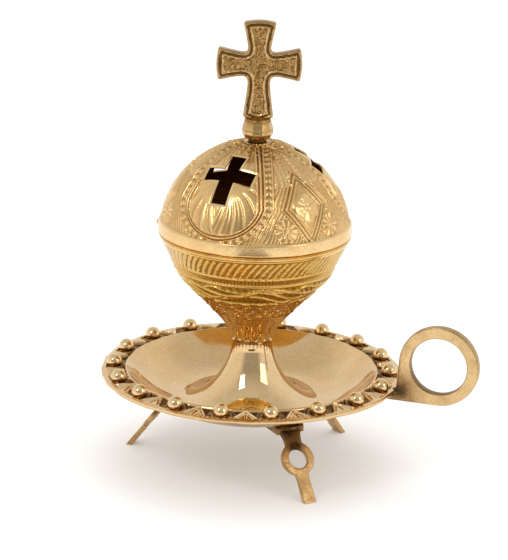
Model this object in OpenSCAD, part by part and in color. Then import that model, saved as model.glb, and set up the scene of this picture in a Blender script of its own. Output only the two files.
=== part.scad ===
// Standing hand censer: a beaded saucer on three feet carries a bowl with a hinged, pierced globe lid.
// The bowl's axis is vertical at x = axis_x. The side with the cross's face is -Y, and the floor is z = 0.
// Azimuths are degrees round the axis, 0 towards -Y and 90 towards +X.

/* [Saucer] */
// Radius of the saucer's rim
saucer_r = 56; // [46:0.5:68]
// Height of the rim's underside above the floor
rim_z = 34.4; // [28:0.2:42]
// Thickness of the rim's outer edge
rim_t = 1.5; // [1:0.1:3]
// Width of the flat flange that carries the beads
flange_w = 9.5; // [7:0.5:12]
// Rise of the flange from its outer edge to the lip of the well
flange_rise = 0.9; // [0:0.1:2]
// Depth of the well below the rim's underside
well_depth = 9.4; // [6:0.1:14]
// Wall of the saucer casting
saucer_wall = 1.5; // [1:0.1:3]
// Number of beads round the flange
bead_count = 18; // [8:1:24]
// Radius of one bead
bead_r = 2.9; // [2:0.05:3.6]
// Azimuth of the first bead
bead_az = 8.2; // [0:0.1:20]

/* [Pedestal] */
// Height of the pedestal above the floor of the well
pedestal_h = 22.8; // [18:0.2:32]
// Radius where the pedestal meets the floor of the well
pedestal_foot_r = 24.5; // [20:0.5:30]
// Radius of the lip at the pedestal's top
pedestal_top_r = 7.3; // [6.6:0.1:10]
// Depth of the socket that takes the bowl's spigot
socket_depth = 3.2; // [2:0.1:5]
// Wall of the lip round the socket
socket_wall = 0.8; // [0.6:0.1:1.5]
// Thickness of the web under the socket
web_t = 3; // [2:0.1:5]

/* [Handle] */
// Azimuth of the ring handle
handle_az = 72; // [60:1:90]
// Bore of the finger ring
ring_bore_r = 10.6; // [9:0.05:14]
// Width of the ring's band, from bore to outside
ring_band = 4.35; // [3.5:0.05:7]
// Thickness of the ring and its tang
handle_t = 3.6; // [2.5:0.1:5]
// Gap between the ring and the saucer's rim
ring_gap = 0.95; // [0.4:0.05:3]
// Reach of the tang under the flange
tang_reach = 6; // [3:0.5:8]
// Depth of the tang below the flange
tang_h = 2.6; // [2:0.05:6]

/* [Feet] */
// Azimuth of the front foot
foot_front_az = 28; // [20:0.5:40]
// Azimuth of the right foot
foot_right_az = 133; // [120:1:150]
// Azimuth of the left foot
foot_left_az = 253; // [240:1:265]
// Thickness of the foot strap
foot_t = 2; // [1.5:0.1:3]
// Width of the pad brazed under the well
pad_w = 11; // [8:0.5:16]
// Distance from the axis to the pad's inner edge
pad_inner_r = 23; // [21:0.5:25]
// Distance from the axis to the bend between pad and leg
foot_bend_r = 31; // [29:0.5:33]
// Slope of the leg below the horizontal
leg_slope = 53; // [48:1:60]
// Width of the leg above its eye
leg_w = 6.6; // [5:0.1:9]
// Width of the leg's tip
tip_w = 5.1; // [4:0.1:7]
// Radius of the hole in the foot's eye
eye_hole_r = 3.6; // [2:0.1:4.5]
// Width of the band round the eye's hole
eye_band = 2.85; // [2:0.05:4]
// Distance down the leg from the bend to the eye's centre
eye_along = 12.1; // [9:0.1:13]

/* [Bowl] */
// Height of the bowl from its shoulder to the seam
bowl_h = 41.3; // [34:0.1:50]
// Wall of the bowl
bowl_wall = 2; // [1.4:0.1:3]
// Step from the globe's radius in to the bowl's lip
lip_step = 0.4; // [0.2:0.1:1]
// Height of the plain lip
lip_h = 1.8; // [1:0.1:4]
// Drop from the seam to the beaded row
bead_row_drop = 12; // [9:0.5:15]
// Inward slope of the bowl from its lip to the beaded row
bead_row_in = 5.1; // [4:0.1:7]
// Radius of the neck at the bowl's shoulder
neck_r = 6.9; // [6:0.1:9]
// Thickness of metal above the neck, under the bowl's floor
neck_solid_h = 12; // [9:0.5:16]
// Gap between the shoulder and the pedestal's lip
shoulder_gap = 0.5; // [0.1:0.1:1]
// Radial clearance of the spigot in its socket
spigot_clear = 0.25; // [0.1:0.05:0.5]

/* [Lid] */
// Outer radius of the globe
globe_r = 35.3; // [28:0.1:43]
// Height of the seam above the globe's centre
seam_rise = 0.9; // [0:0.1:4]
// Wall of the lid
lid_wall = 1.2; // [1:0.1:3]
// Gap between the lid and the bowl at the seam
seam_gap = 0.2; // [0.1:0.05:0.5]
// Depth of the flat under the finial
top_flat = 0.25; // [0.1:0.05:0.5]
// Radius of the flat boss inside the lid's top
boss_r = 5; // [4.6:0.1:8]
// Azimuths of the pierced crosses
vent_az = [-27, 100, 207];
// Elevations of the pierced crosses' centres
vent_el = [51.5, 51.5, 48];
// Half width of the pierced cross's arms
vent_half_w = 2.85; // [2:0.05:3.5]
// Reach of the side arms from the centre
vent_side = 9.3; // [6:0.1:10]
// Reach of the top arm
vent_up = 9.2; // [6:0.1:10]
// Reach of the bottom arm
vent_down = 11.8; // [8:0.1:13]

/* [Hinge] */
// Azimuth of the hinge, opposite the handle
hinge_az = 252; // [240:1:260]
// Distance of the hinge axis outside the globe
hinge_out = 0.6; // [0.4:0.05:1.5]
// Radius of the hinge knuckles
knuckle_r = 1.5; // [1.2:0.05:2.2]
// Length of the lid's knuckle
lug_l = 2.6; // [2:0.1:4]
// Length of each of the bowl's two knuckles
ear_l = 1.7; // [1.2:0.1:3]
// Side gap between knuckles
knuckle_gap = 0.2; // [0.1:0.05:0.4]
// Clearance of a knuckle in the recess cut for it
recess_clear = 0.25; // [0.15:0.05:0.5]
// Radius of the hinge pin
pin_r = 0.8; // [0.6:0.05:1]
// Radial clearance of the pin in the lid's knuckle
pin_clear = 0.05; // [0.02:0.01:0.1]
// Radius of the pin's peened heads
pin_head_r = 1.15; // [1:0.05:1.4]
// Thickness of each peened head
pin_head_t = 0.45; // [0.2:0.05:0.8]

/* [Finial] */
// Height of the round collar under the cross
collar_h = 8.4; // [8:0.1:14]
// Largest radius of the collar
collar_r = 5.75; // [5:0.05:8]
// Radius of the seat that stands on the lid
seat_r = 3.4; // [2.8:0.1:4]
// Half width of the cross's foot
cross_foot_half_w = 5.4; // [4.5:0.05:7]
// Half width of the arms at their ends
arm_end_half_w = 5.75; // [5:0.05:8]
// How far in the round corners between the arms are drawn
arm_root = 2.7; // [1.2:0.1:3]
// Reach of the side arms
arm_side = 15.45; // [12:0.05:20]
// Reach of the top arm
arm_up = 15.9; // [12:0.05:20]
// Reach of the bottom arm
arm_down = 20.2; // [14:0.05:24]
// Radius of the arms' outer corners
arm_corner_r = 0.7; // [0.2:0.1:1.2]
// Bulge of the arms' ends
arm_bulge = 0.6; // [0:0.1:1.5]
// Thickness of the cross
cross_t = 4; // [3:0.1:6]

/* [Fasteners] */
// Radius of the threaded shanks
thread_r = 2; // [1.5:0.1:2.5]
// Radial clearance of a shank in its thread
thread_clear = 0.05; // [0.02:0.01:0.1]
// Radial clearance of a shank in a plain hole
hole_clear = 0.15; // [0.1:0.05:0.4]
// Thread length of the stem screw inside the bowl's neck
stem_thread_l = 8.5; // [5:0.5:9]
// Radius of the stem screw's head
screw_head_r = 3.7; // [3:0.1:4.2]
// Height of the stem screw's head
screw_head_h = 2.4; // [1.6:0.1:3]
// Width of the screw's slot
slot_w = 1; // [0.6:0.1:1.4]
// Depth of the screw's slot
slot_depth = 1.1; // [0.6:0.1:1.5]
// Radius of the washers
washer_r = 4.5; // [4:0.1:4.6]
// Thickness of the washers
washer_t = 0.8; // [0.5:0.1:1.2]
// Width of the nut across its flats
nut_flats = 7; // [6:0.1:8]
// Height of the nut
nut_h = 3.2; // [2:0.1:4]
// Length of stud left below the nut
stud_end = 1; // [0.5:0.1:2]

/* [Hidden] */
$fn = 96;
brass = [0.80, 0.62, 0.33];
bright_brass = [0.88, 0.72, 0.45];
dark_brass = [0.66, 0.48, 0.22];
curve_steps = 14;
// Length that runs past everything, and how far a cut runs past a face
beyond = 200;
past = 1;

// Handle, and the place of the axis that centres the whole censer on x = 0
ring_r = ring_bore_r + ring_band;
ring_reach = saucer_r + ring_gap + ring_r;
ring_z = rim_z - tang_h + ring_r;
handle_tip_x = (ring_reach + ring_r) * sin(handle_az) + handle_t / 2 * cos(handle_az);
axis_x = (saucer_r - handle_tip_x) / 2;

// Saucer and pedestal
well_z = rim_z - well_depth;
pedestal_z = well_z + pedestal_h;
socket_r = pedestal_top_r - socket_wall;
socket_z = pedestal_z - socket_depth;
web_z = socket_z - web_t;
crease = [saucer_r - flange_w, rim_z + rim_t + flange_rise];
well_start = [pedestal_foot_r, well_z];
bead_ring_r = saucer_r - flange_w / 2;
// Share of a bead's radius that its centre stands above the flange
bead_stand = 0.28;
bead_z = rim_z + rim_t + flange_rise / 2 + bead_r * bead_stand;
edge_round = 0.5;
// Pulls of the dish's curve at its foot and at the crease
dish_foot_pull = 9;
dish_crease_pull = [6, 6.6];
dish_curve = [
    well_start, well_start + [dish_foot_pull, 0], crease - dish_crease_pull, crease
];
// Bends of the pedestal's curve: share of the foot's radius and rise, then flare and share of the height
foot_bend = [0.61, 1.7];
top_bend = [0.2, 0.41];
pedestal_curve = [
    well_start, [pedestal_foot_r * foot_bend[0], well_z + foot_bend[1]],
    [pedestal_top_r + top_bend[0], pedestal_z - pedestal_h * top_bend[1]], [pedestal_top_r, pedestal_z]
];

// Bowl
shoulder_z = pedestal_z + shoulder_gap;
seam_z = shoulder_z + bowl_h;
lip_r = globe_r - lip_step;
lip_under_z = seam_z - lip_h;
bead_row = [lip_r - bead_row_in, seam_z - bead_row_drop];
bead_row_step = [0.6, 2];
belly_top = bead_row - bead_row_step;
bowl_floor_z = shoulder_z + neck_solid_h;
// Pulls of the belly's curve at its top and at the neck
belly_top_pull = [3.4, 6.6];
belly_neck_pull = [3, 9.4];
belly_foot = [neck_r, shoulder_z];
belly_curve = [belly_top, belly_top - belly_top_pull, belly_foot + belly_neck_pull, belly_foot];
spigot_r = socket_r - spigot_clear;
cup_flare = 2.6;
cup_floor_r = neck_r + cup_flare;
// Air left past the stem screw's end
screw_end_gap = 0.5;

// Lid and hinge
globe_z = seam_z - seam_rise;
lid_edge_z = seam_z + seam_gap;
lid_top_z = globe_z + globe_r - top_flat;
// Drop of the boss's flat face below the dome's inner top
boss_drop = 0.45;
boss_z = globe_z + globe_r - lid_wall - boss_drop;
hinge_r = globe_r + hinge_out;
hinge_z = seam_z + seam_gap / 2;
ear_y = lug_l / 2 + knuckle_gap + ear_l / 2;
barrel_l = lug_l + 2 * (knuckle_gap + ear_l);
recess_r = knuckle_r + recess_clear;
// Recess in the lid for a knuckle of the bowl and the pin's head beyond it
lid_recess_l = ear_l + 2 * knuckle_gap + pin_head_t;
lid_recess_y = (lug_l + lid_recess_l) / 2;
// Webs of the knuckles: where they leave the barrel, their rise or drop along the wall, and their lean
web_angle = 40;
web_root = knuckle_r * [cos(web_angle), sin(web_angle)];
ear_web_drop = [3, 4.4];
ear_web_in = 1.1;
lid_web_rise = 4;
lid_web_lean = 0.3;

// Finial and fasteners
cross_z = lid_top_z + collar_h + arm_down;
shank_hole_r = thread_r + hole_clear;
tapped_r = thread_r + thread_clear;
// Collar: the seat's height, bends of its curve, its waist and the root inside the cross
seat_h = 0.9;
collar_low_bend = [0.7, 1.2];
collar_belly = [[0.7, 2], [0.6, 5.9]];
collar_waist_drop = 0.5;
waist_share = 0.9;
root_share = 0.7;
root_h = 1.2;
// Cross: bends of the corner between two arms, and the point that rounds an arm's end
root_lead = arm_root * 1.2;
root_lag = arm_root * 0.8;
end_share = 0.55;
end_bulge_share = 0.3;
corner_steps = 4;

// Foot: distances along the leg run from the bend at the pad's outer end down to the floor
pad_top_z = well_z - saucer_wall;
eye_r = eye_hole_r + eye_band;
leg_flare_l = 5;
leg_flare_pull = [1.2, 1.8];
leg_neck_share = 0.36;
// Handle's tang: share of its height where its slanted end starts, and the slant's length
tang_end_share = 0.6;
tang_slant_l = 2;
leg_l = (pad_top_z + foot_t) / sin(leg_slope);

function cubic(p, t) =
    pow(1 - t, 3) * p[0] + 3 * t * pow(1 - t, 2) * p[1] + 3 * t * t * (1 - t) * p[2] + pow(t, 3) * p[3];

function cubic_slope(p, t) =
    3 * pow(1 - t, 2) * (p[1] - p[0]) + 6 * t * (1 - t) * (p[2] - p[1]) + 3 * t * t * (p[3] - p[2]);

// Point of the curve moved d to the right of its direction of travel
function beside(p, t, d) =
    let (v = cubic_slope(p, t)) cubic(p, t) + d / norm(v) * [v[1], -v[0]];

function curve_points(p) = [for (i = [0 : curve_steps]) cubic(p, i / curve_steps)];

function side_points(p, d) = [for (i = [0 : curve_steps]) beside(p, i / curve_steps, d)];

function below(points, z) = [for (q = points) if (q[1] < z) q];

function above(points, z) = [for (q = points) if (q[1] > z) q];

function backwards(points) = [for (i = [len(points) - 1 : -1 : 0]) points[i]];

function last(points) = points[len(points) - 1];

module on_axis() {
    translate([axis_x, 0, 0])
        children();
}

// Turns +X to an azimuth
module towards(azimuth) {
    on_axis()
        rotate([0, 0, azimuth - 90])
            children();
}

// Stands a drawing in the radial upright plane, with its thickness centred
module upright(thickness) {
    rotate([90, 0, 0])
        linear_extrude(thickness, center = true)
            children();
}

// Section of the saucer casting from the axis out to its rim
module saucer_section() {
    hollow = below(side_points(pedestal_curve, -saucer_wall), web_z);
    underside = below(side_points(dish_curve, saucer_wall), rim_z);
    polygon(concat(
        [[shank_hole_r, web_z], [last(hollow)[0], web_z]],
        backwards(hollow),
        underside,
        [[last(underside)[0], rim_z], [saucer_r - edge_round, rim_z]],
        [[saucer_r, rim_z + edge_round], [saucer_r, rim_z + rim_t - edge_round]],
        [[saucer_r - edge_round, rim_z + rim_t], crease],
        backwards(curve_points(dish_curve)),
        curve_points(pedestal_curve),
        [[socket_r, pedestal_z], [socket_r, socket_z], [shank_hole_r, socket_z]]
    ));
}

// Everything above the casting's underside, for fitting the feet to it
module above_underside() {
    rotate_extrude()
        polygon(concat(
            [[0, beyond], [0, web_z]],
            backwards(side_points(pedestal_curve, -saucer_wall)),
            side_points(dish_curve, saucer_wall),
            [[saucer_r, rim_z], [saucer_r, beyond]]
        ));
}

module saucer() {
    color(bright_brass)
        on_axis() {
            rotate_extrude()
                saucer_section();
            for (i = [0 : bead_count - 1])
                rotate([0, 0, bead_az - 90 + i * 360 / bead_count])
                    translate([bead_ring_r, 0, bead_z])
                        sphere(bead_r);
        }
}

module handle() {
    tang_z = rim_z - tang_h;
    inner_end = saucer_r - tang_reach;
    color(brass)
        towards(handle_az)
            upright(handle_t)
                difference() {
                    union() {
                        translate([ring_reach, ring_z])
                            circle(ring_r);
                        polygon([
                            [inner_end, rim_z], [inner_end, rim_z - tang_h * tang_end_share],
                            [inner_end + tang_slant_l, tang_z], [ring_reach, tang_z], [ring_reach, ring_z],
                            [saucer_r + ring_gap, ring_z], [saucer_r + ring_gap / 4, rim_z + rim_t],
                            [saucer_r + ring_gap / 4, rim_z]
                        ]);
                    }
                    translate([ring_reach, ring_z])
                        circle(ring_bore_r);
                }
}

// One edge of the leg, from the pad down to the tip, with +X down the slope
function leg_edge() =
    concat(
        curve_points([
            [-foot_t, pad_w / 2], [leg_flare_pull[0], pad_w / 2],
            [leg_flare_pull[1], leg_w / 2], [leg_flare_l, leg_w / 2]
        ]),
        [[eye_along, leg_w / 2], [eye_along + eye_r, leg_w * leg_neck_share], [leg_l, tip_w / 2]]
    );

module leg_outline() {
    edge = leg_edge();
    polygon(concat(edge, [for (q = backwards(edge)) [q[0], -q[1]]]));
    translate([eye_along, 0])
        circle(eye_r);
}

module foot(azimuth) {
    color(dark_brass)
        difference() {
            towards(azimuth) {
                translate([pad_inner_r, -pad_w / 2, pad_top_z - foot_t])
                    cube([foot_bend_r - pad_inner_r, pad_w, foot_t + past]);
                translate([foot_bend_r, 0, pad_top_z])
                    rotate([0, leg_slope, 0])
                        translate([0, 0, -foot_t])
                            linear_extrude(foot_t)
                                difference() {
                                    leg_outline();
                                    translate([eye_along, 0])
                                        circle(eye_hole_r);
                                }
            }
            on_axis()
                above_underside();
            translate([-beyond, -beyond, -beyond])
                cube([2 * beyond, 2 * beyond, beyond]);
        }
}

// Places children at the hinge: +X outwards, Y along the pin, Z up
module at_hinge() {
    towards(hinge_az)
        translate([hinge_r, 0, hinge_z])
            children();
}

module along_pin(radius, length, at = 0) {
    translate([0, at, 0])
        rotate([90, 0, 0])
            cylinder(r = radius, h = length, center = true);
}

// Section of the bowl, with the spigot that enters the pedestal's socket
module bowl_section() {
    outside = curve_points(belly_curve);
    inside = above(side_points(belly_curve, bowl_wall), bowl_floor_z);
    polygon(concat(
        [[tapped_r, socket_z], [spigot_r, socket_z], [spigot_r, shoulder_z]],
        backwards(outside),
        [bead_row, [lip_r, lip_under_z], [lip_r, seam_z], [lip_r - bowl_wall, seam_z]],
        [[lip_r - bowl_wall, lip_under_z], bead_row - [bowl_wall, 0]],
        inside,
        [[cup_floor_r, bowl_floor_z], [0, bowl_floor_z]],
        [[0, socket_z + stem_thread_l + past], [tapped_r, socket_z + stem_thread_l]]
    ));
}

// Web that carries one of the bowl's knuckles down to the wall
module ear_web() {
    wall_x = lip_r - hinge_r;
    upright(ear_l)
        polygon([
            [0, 0], [wall_x - bowl_wall / 2, 0], [wall_x - bowl_wall / 2, -ear_web_drop[0]],
            [wall_x - ear_web_in, -ear_web_drop[1]], [web_root[0], -web_root[1]]
        ]);
}

module bowl() {
    color(brass)
        difference() {
            union() {
                on_axis()
                    rotate_extrude()
                        bowl_section();
                at_hinge()
                    for (side = [-1, 1])
                        translate([0, side * ear_y, 0]) {
                            along_pin(knuckle_r, ear_l);
                            ear_web();
                        }
            }
            at_hinge() {
                along_pin(pin_r, barrel_l + 2 * past);
                along_pin(recess_r, lug_l + 2 * knuckle_gap);
            }
        }
}

module stem_screw() {
    head_z = web_z - washer_t - screw_head_h;
    color(dark_brass)
        on_axis()
            difference() {
                union() {
                    translate([0, 0, head_z])
                        cylinder(r = screw_head_r, h = screw_head_h);
                    translate([0, 0, head_z])
                        cylinder(r = thread_r, h = socket_z + stem_thread_l - screw_end_gap - head_z);
                }
                translate([-beyond, -slot_w / 2, head_z - past])
                    cube([2 * beyond, slot_w, past + slot_depth]);
            }
}

module washer(z) {
    color(dark_brass)
        on_axis()
            translate([0, 0, z])
                difference() {
                    cylinder(r = washer_r, h = washer_t);
                    translate([0, 0, -past])
                        cylinder(r = shank_hole_r, h = washer_t + 2 * past);
                }
}

module stem_washer() {
    washer(web_z - washer_t);
}

module finial_washer() {
    washer(boss_z - washer_t);
}

// Latin cross pierced through the lid along a radius of the globe
module vent(azimuth, elevation) {
    rotate([0, 0, azimuth - 90])
        rotate([0, -elevation, 0])
            rotate([90, 0, 90])
                linear_extrude(beyond) {
                    translate([-vent_side, -vent_half_w])
                        square([2 * vent_side, 2 * vent_half_w]);
                    translate([-vent_half_w, -vent_down])
                        square([2 * vent_half_w, vent_down + vent_up]);
                }
}

// Web that carries the lid's knuckle up to its wall
module lid_web() {
    wall_x = globe_r - hinge_r;
    upright(lug_l)
        polygon([
            [0, 0], web_root, [wall_x - lid_web_lean, lid_web_rise],
            [wall_x - lid_wall / 2 - lid_web_lean, lid_web_rise],
            [wall_x - lid_wall / 2, lid_edge_z - hinge_z],
            [wall_x, lid_edge_z - hinge_z]
        ]);
}

module lid() {
    color(brass)
        difference() {
            union() {
                on_axis()
                    difference() {
                        translate([0, 0, globe_z])
                            sphere(globe_r);
                        difference() {
                            translate([0, 0, globe_z])
                                sphere(globe_r - lid_wall);
                            translate([0, 0, boss_z])
                                cylinder(r = boss_r, h = beyond);
                        }
                        translate([-beyond, -beyond, lid_edge_z - beyond])
                            cube([2 * beyond, 2 * beyond, beyond]);
                        translate([0, 0, lid_top_z])
                            cylinder(r = globe_r, h = beyond);
                        translate([0, 0, boss_z - past])
                            cylinder(r = shank_hole_r, h = beyond);
                        translate([0, 0, globe_z])
                            for (i = [0 : len(vent_az) - 1])
                                vent(vent_az[i], vent_el[i]);
                    }
                at_hinge() {
                    along_pin(knuckle_r, lug_l);
                    lid_web();
                }
            }
            at_hinge() {
                along_pin(pin_r + pin_clear, lug_l + 2 * past);
                for (side = [-1, 1])
                    along_pin(recess_r, lid_recess_l, side * lid_recess_y);
            }
        }
}

module hinge_pin() {
    color(dark_brass)
        at_hinge() {
            along_pin(pin_r, barrel_l + 2 * pin_head_t);
            for (side = [-1, 1])
                along_pin(pin_head_r, pin_head_t, side * (barrel_l + pin_head_t) / 2);
        }
}

// Round corner between two arms, from the end of the first to the end of the second
function corner_points(reach_a, half_w_a, reach_b, half_w_b) =
    curve_points([
        [half_w_a, reach_a - arm_bulge - arm_corner_r], [root_lead, root_lag],
        [root_lag, root_lead], [reach_b - arm_bulge - arm_corner_r, half_w_b]
    ]);

// Round outer corner of an arm, from its end to its side
function end_corner(reach, half_w) =
    let (x = half_w - arm_corner_r, y = reach - arm_bulge - arm_corner_r)
        [for (i = [0 : corner_steps - 1])
            let (angle = 90 - 90 * i / corner_steps)
                [x + arm_corner_r * cos(angle), y + arm_corner_r * sin(angle)]];

// A drawing of the top arm turned to the right arm, or mirrored to the bottom one
function on_right(points) = [for (q = points) [q[1], q[0]]];

function on_bottom(points) = [for (q = points) [q[0], -q[1]]];

// Right half of the cross, from its top down to its foot
function half_cross() =
    let (
        top = end_corner(arm_up, arm_end_half_w),
        side = on_right(end_corner(arm_side, arm_end_half_w)),
        foot = on_bottom(end_corner(arm_down, cross_foot_half_w)),
        upper = corner_points(arm_up, arm_end_half_w, arm_side, arm_end_half_w),
        lower = corner_points(arm_down, cross_foot_half_w, arm_side, arm_end_half_w)
    )
    concat(
        [[0, arm_up], [arm_end_half_w * end_share, arm_up - arm_bulge * end_bulge_share]],
        top,
        upper,
        backwards(side),
        [[arm_side - arm_bulge * end_bulge_share, arm_end_half_w * end_share], [arm_side, 0]],
        [[arm_side - arm_bulge * end_bulge_share, -arm_end_half_w * end_share]],
        on_bottom(side),
        on_bottom(backwards(lower)),
        backwards(foot)
    );

module cross_outline() {
    right = half_cross();
    polygon(concat(right, [for (q = backwards(right)) if (q[0] > 0) [-q[0], q[1]]]));
}

module collar_section() {
    waist_r = cross_foot_half_w * waist_share;
    collar_curve = [
        [seat_r, 0] + collar_low_bend, [collar_r, 0] + collar_belly[0],
        [collar_r, 0] + collar_belly[1], [waist_r, collar_h - collar_waist_drop]
    ];
    polygon(concat(
        [[0, 0], [seat_r, 0], [seat_r, seat_h]],
        curve_points(collar_curve),
        [[waist_r * root_share, collar_h + root_h], [0, collar_h + root_h]]
    ));
}

module cross_finial() {
    stud_z = boss_z - washer_t - nut_h - stud_end;
    color(brass)
        on_axis() {
            translate([0, 0, stud_z])
                cylinder(r = thread_r, h = lid_top_z - stud_z + past);
            translate([0, 0, lid_top_z])
                rotate_extrude()
                    collar_section();
            translate([0, 0, cross_z])
                upright(cross_t)
                    cross_outline();
        }
}

module finial_nut() {
    color(dark_brass)
        on_axis()
            translate([0, 0, boss_z - washer_t - nut_h])
                difference() {
                    cylinder(r = nut_flats / sqrt(3), h = nut_h, $fn = 6);
                    translate([0, 0, -past])
                        cylinder(r = tapped_r, h = nut_h + 2 * past);
                }
}

saucer();
handle();
foot(foot_front_az);  // foot_front
foot(foot_right_az);  // foot_right
foot(foot_left_az);  // foot_left
bowl();
stem_screw();
stem_washer();
lid();
cross_finial();
finial_washer();
finial_nut();
hinge_pin();
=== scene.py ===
"""Looks of the standing hand censer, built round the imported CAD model.

Lengths are in millimetres until a mesh is made, where MM turns them into metres. Azimuths are degrees
round the bowl's axis, 0 towards -Y and 90 towards +X.
"""
import math
from contextlib import contextmanager

import bmesh
import bpy
import numpy as np
from mathutils import Matrix, Vector


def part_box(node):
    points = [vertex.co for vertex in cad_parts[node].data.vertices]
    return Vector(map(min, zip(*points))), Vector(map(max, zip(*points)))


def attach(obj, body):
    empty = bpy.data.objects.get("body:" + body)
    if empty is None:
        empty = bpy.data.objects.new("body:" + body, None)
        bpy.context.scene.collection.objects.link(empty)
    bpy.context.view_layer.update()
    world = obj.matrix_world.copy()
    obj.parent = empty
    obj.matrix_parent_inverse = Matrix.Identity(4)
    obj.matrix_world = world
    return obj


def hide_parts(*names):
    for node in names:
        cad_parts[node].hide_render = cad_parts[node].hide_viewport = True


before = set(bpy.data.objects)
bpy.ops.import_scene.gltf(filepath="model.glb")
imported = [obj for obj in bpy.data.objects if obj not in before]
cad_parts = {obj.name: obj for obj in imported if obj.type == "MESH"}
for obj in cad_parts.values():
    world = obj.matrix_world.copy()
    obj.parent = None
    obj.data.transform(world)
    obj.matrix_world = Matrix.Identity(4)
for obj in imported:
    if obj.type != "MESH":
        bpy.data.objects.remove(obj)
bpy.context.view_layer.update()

MM = 0.001
SEED = 7

# ---------------------------------------------------------------- driving sizes, as in the CAD model
washer_lo, washer_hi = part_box("stem_washer")
AXIS_X = (washer_lo.x + washer_hi.x) / 2 / MM
SAUCER_R = 56.0
RIM_Z = 34.4
RIM_T = 1.5
FLANGE_W = 9.5
FLANGE_RISE = 0.9
WELL_Z = 25.0
SAUCER_WALL = 1.5
BEADS = 18
BEAD_R = 2.9
BEAD_AZ = 8.2
PEDESTAL_R = 24.5
PEDESTAL_TOP_R = 7.3
PEDESTAL_Z = 47.8
PEDESTAL_H = PEDESTAL_Z - WELL_Z
SOCKET_R = 6.5
SOCKET_Z = 44.6
WEB_Z = 41.6
HANDLE_AZ = 72.0
RING_BORE_R = 10.6
RING_R = 14.95
HANDLE_T = 3.6
RING_GAP = 0.95
TANG_H = 2.6
TANG_REACH = 6.0
FOOT_AZ = {"foot_front": 28.0, "foot_right": 133.0, "foot_left": 253.0}
FOOT_T = 2.0
PAD_W = 11.0
PAD_INNER_R = 23.0
FOOT_BEND_R = 31.0
LEG_SLOPE = 53.0
LEG_W = 6.6
TIP_W = 5.1
EYE_R = 6.45
EYE_HOLE_R = 3.6
EYE_ALONG = 12.1
SHOULDER_Z = 48.3
SEAM_Z = 89.6
BOWL_WALL = 2.0
NECK_R = 6.9
BOWL_FLOOR_Z = 60.3
GLOBE_R = 35.3
GLOBE_Z = 88.7
LIP_R = 34.9
LID_WALL = 1.2
SEAM_GAP = 0.2
SEAM_BEVEL = 0.35
LID_TOP_Z = 123.75
BOSS_Z = 122.35
BOSS_R = 5.0
SHANK_HOLE_R = 2.15
VENTS = ((-27.0, 51.5), (100.0, 51.5), (207.0, 48.0))
VENT_HALF_W = 2.85
VENT_SIDE = 9.3
VENT_UP = 9.2
VENT_DOWN = 11.8
HINGE_AZ = 252.0
HINGE_R = 35.9
HINGE_Z = 89.7
KNUCKLE_R = 1.5
LUG_L = 2.6
EAR_L = 1.7
KNUCKLE_GAP = 0.2
RECESS_R = 1.75
COLLAR_H = 8.4
SEAT_R = 3.4
CROSS_Z = LID_TOP_Z + COLLAR_H + 20.2
ARM_END = 5.75
ARM_FOOT = 5.4
ARM_SIDE = 15.45
ARM_UP = 15.9
ARM_DOWN = 20.2
ARM_BULGE = 0.6
ARM_ROOT = 2.7
ARM_CORNER_R = 0.7
CROSS_T = 4.0


# ---------------------------------------------------------------- small maths
def bump(distance, width):
    """A soft rounded ridge, 1 at distance 0."""
    return np.exp(-((distance / width) ** 2))


def step(low, high, x):
    t = np.clip((x - low) / (high - low), 0, 1)
    return t * t * (3 - 2 * t)


def ridge(distance, at, width, height):
    """A raised line with a thin chased groove on either side."""
    away = distance - at
    grooves = sum(bump(away - side * 1.5 * width, 0.75 * width) for side in (-1, 1))
    return height * (bump(away, width) - 0.55 * grooves)


def between(low, high, x, soft):
    return step(low - soft, low + soft, x) * (1 - step(high - soft, high + soft, x))


def wrap(x, period):
    """x brought to within half a period of 0."""
    return (x + period / 2) % period - period / 2


def lattice(i, j, k):
    """A repeatable random number from 0 to 1 for whole numbers i, j and k."""
    n = np.sin(i * 127.1 + j * 311.7 + k * 74.7 + SEED) * 43758.5453
    return n - np.floor(n)


def noise(x, y, z=0.0):
    """Smooth random field from -1 to 1, with a wavelength of about 1."""
    x, y, z = np.broadcast_arrays(np.asarray(x, float), np.asarray(y, float), np.asarray(z, float))
    i, j, k = np.floor(x), np.floor(y), np.floor(z)
    fx, fy, fz = (step(0, 1, a) for a in (x - i, y - j, z - k))
    total = 0
    for dx in (0, 1):
        for dy in (0, 1):
            for dz in (0, 1):
                weight = (fx if dx else 1 - fx) * (fy if dy else 1 - fy) * (fz if dz else 1 - fz)
                total = total + weight * lattice(i + dx, j + dy, k + dz)
    return total * 2 - 1


def grain(x, y, z, size):
    """Two octaves of noise at a size in millimetres."""
    fine = size / 2.3
    return 0.7 * noise(x / size, y / size, z / size) + 0.3 * noise(x / fine, y / fine, z / fine)


def cubic(points, t):
    p = np.asarray(points, float)
    t = np.asarray(t, float)[:, None]
    return (1 - t) ** 3 * p[0] + 3 * t * (1 - t) ** 2 * p[1] + 3 * t * t * (1 - t) * p[2] + t ** 3 * p[3]


def beside(points, t, distance):
    """Points of the curve, moved to the right of its direction of travel."""
    p = np.asarray(points, float)
    s = np.asarray(t, float)[:, None]
    v = 3 * (1 - s) ** 2 * (p[1] - p[0]) + 6 * s * (1 - s) * (p[2] - p[1]) + 3 * s * s * (p[3] - p[2])
    v = v / np.linalg.norm(v, axis=1)[:, None]
    return cubic(points, t) + distance * np.c_[v[:, 1], -v[:, 0]]


def along(a, b, count, ends=True):
    """Points on a straight line."""
    t = np.linspace(0, 1, count, endpoint=ends)[:, None]
    return np.asarray(a, float) * (1 - t) + np.asarray(b, float) * t


# ---------------------------------------------------------------- meshes and objects
def link(name, mesh, material, body):
    piece = bpy.data.objects.new(name, mesh)
    bpy.context.scene.collection.objects.link(piece)
    piece.data.materials.clear()
    piece.data.materials.append(material)
    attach(piece, body)
    return piece


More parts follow.
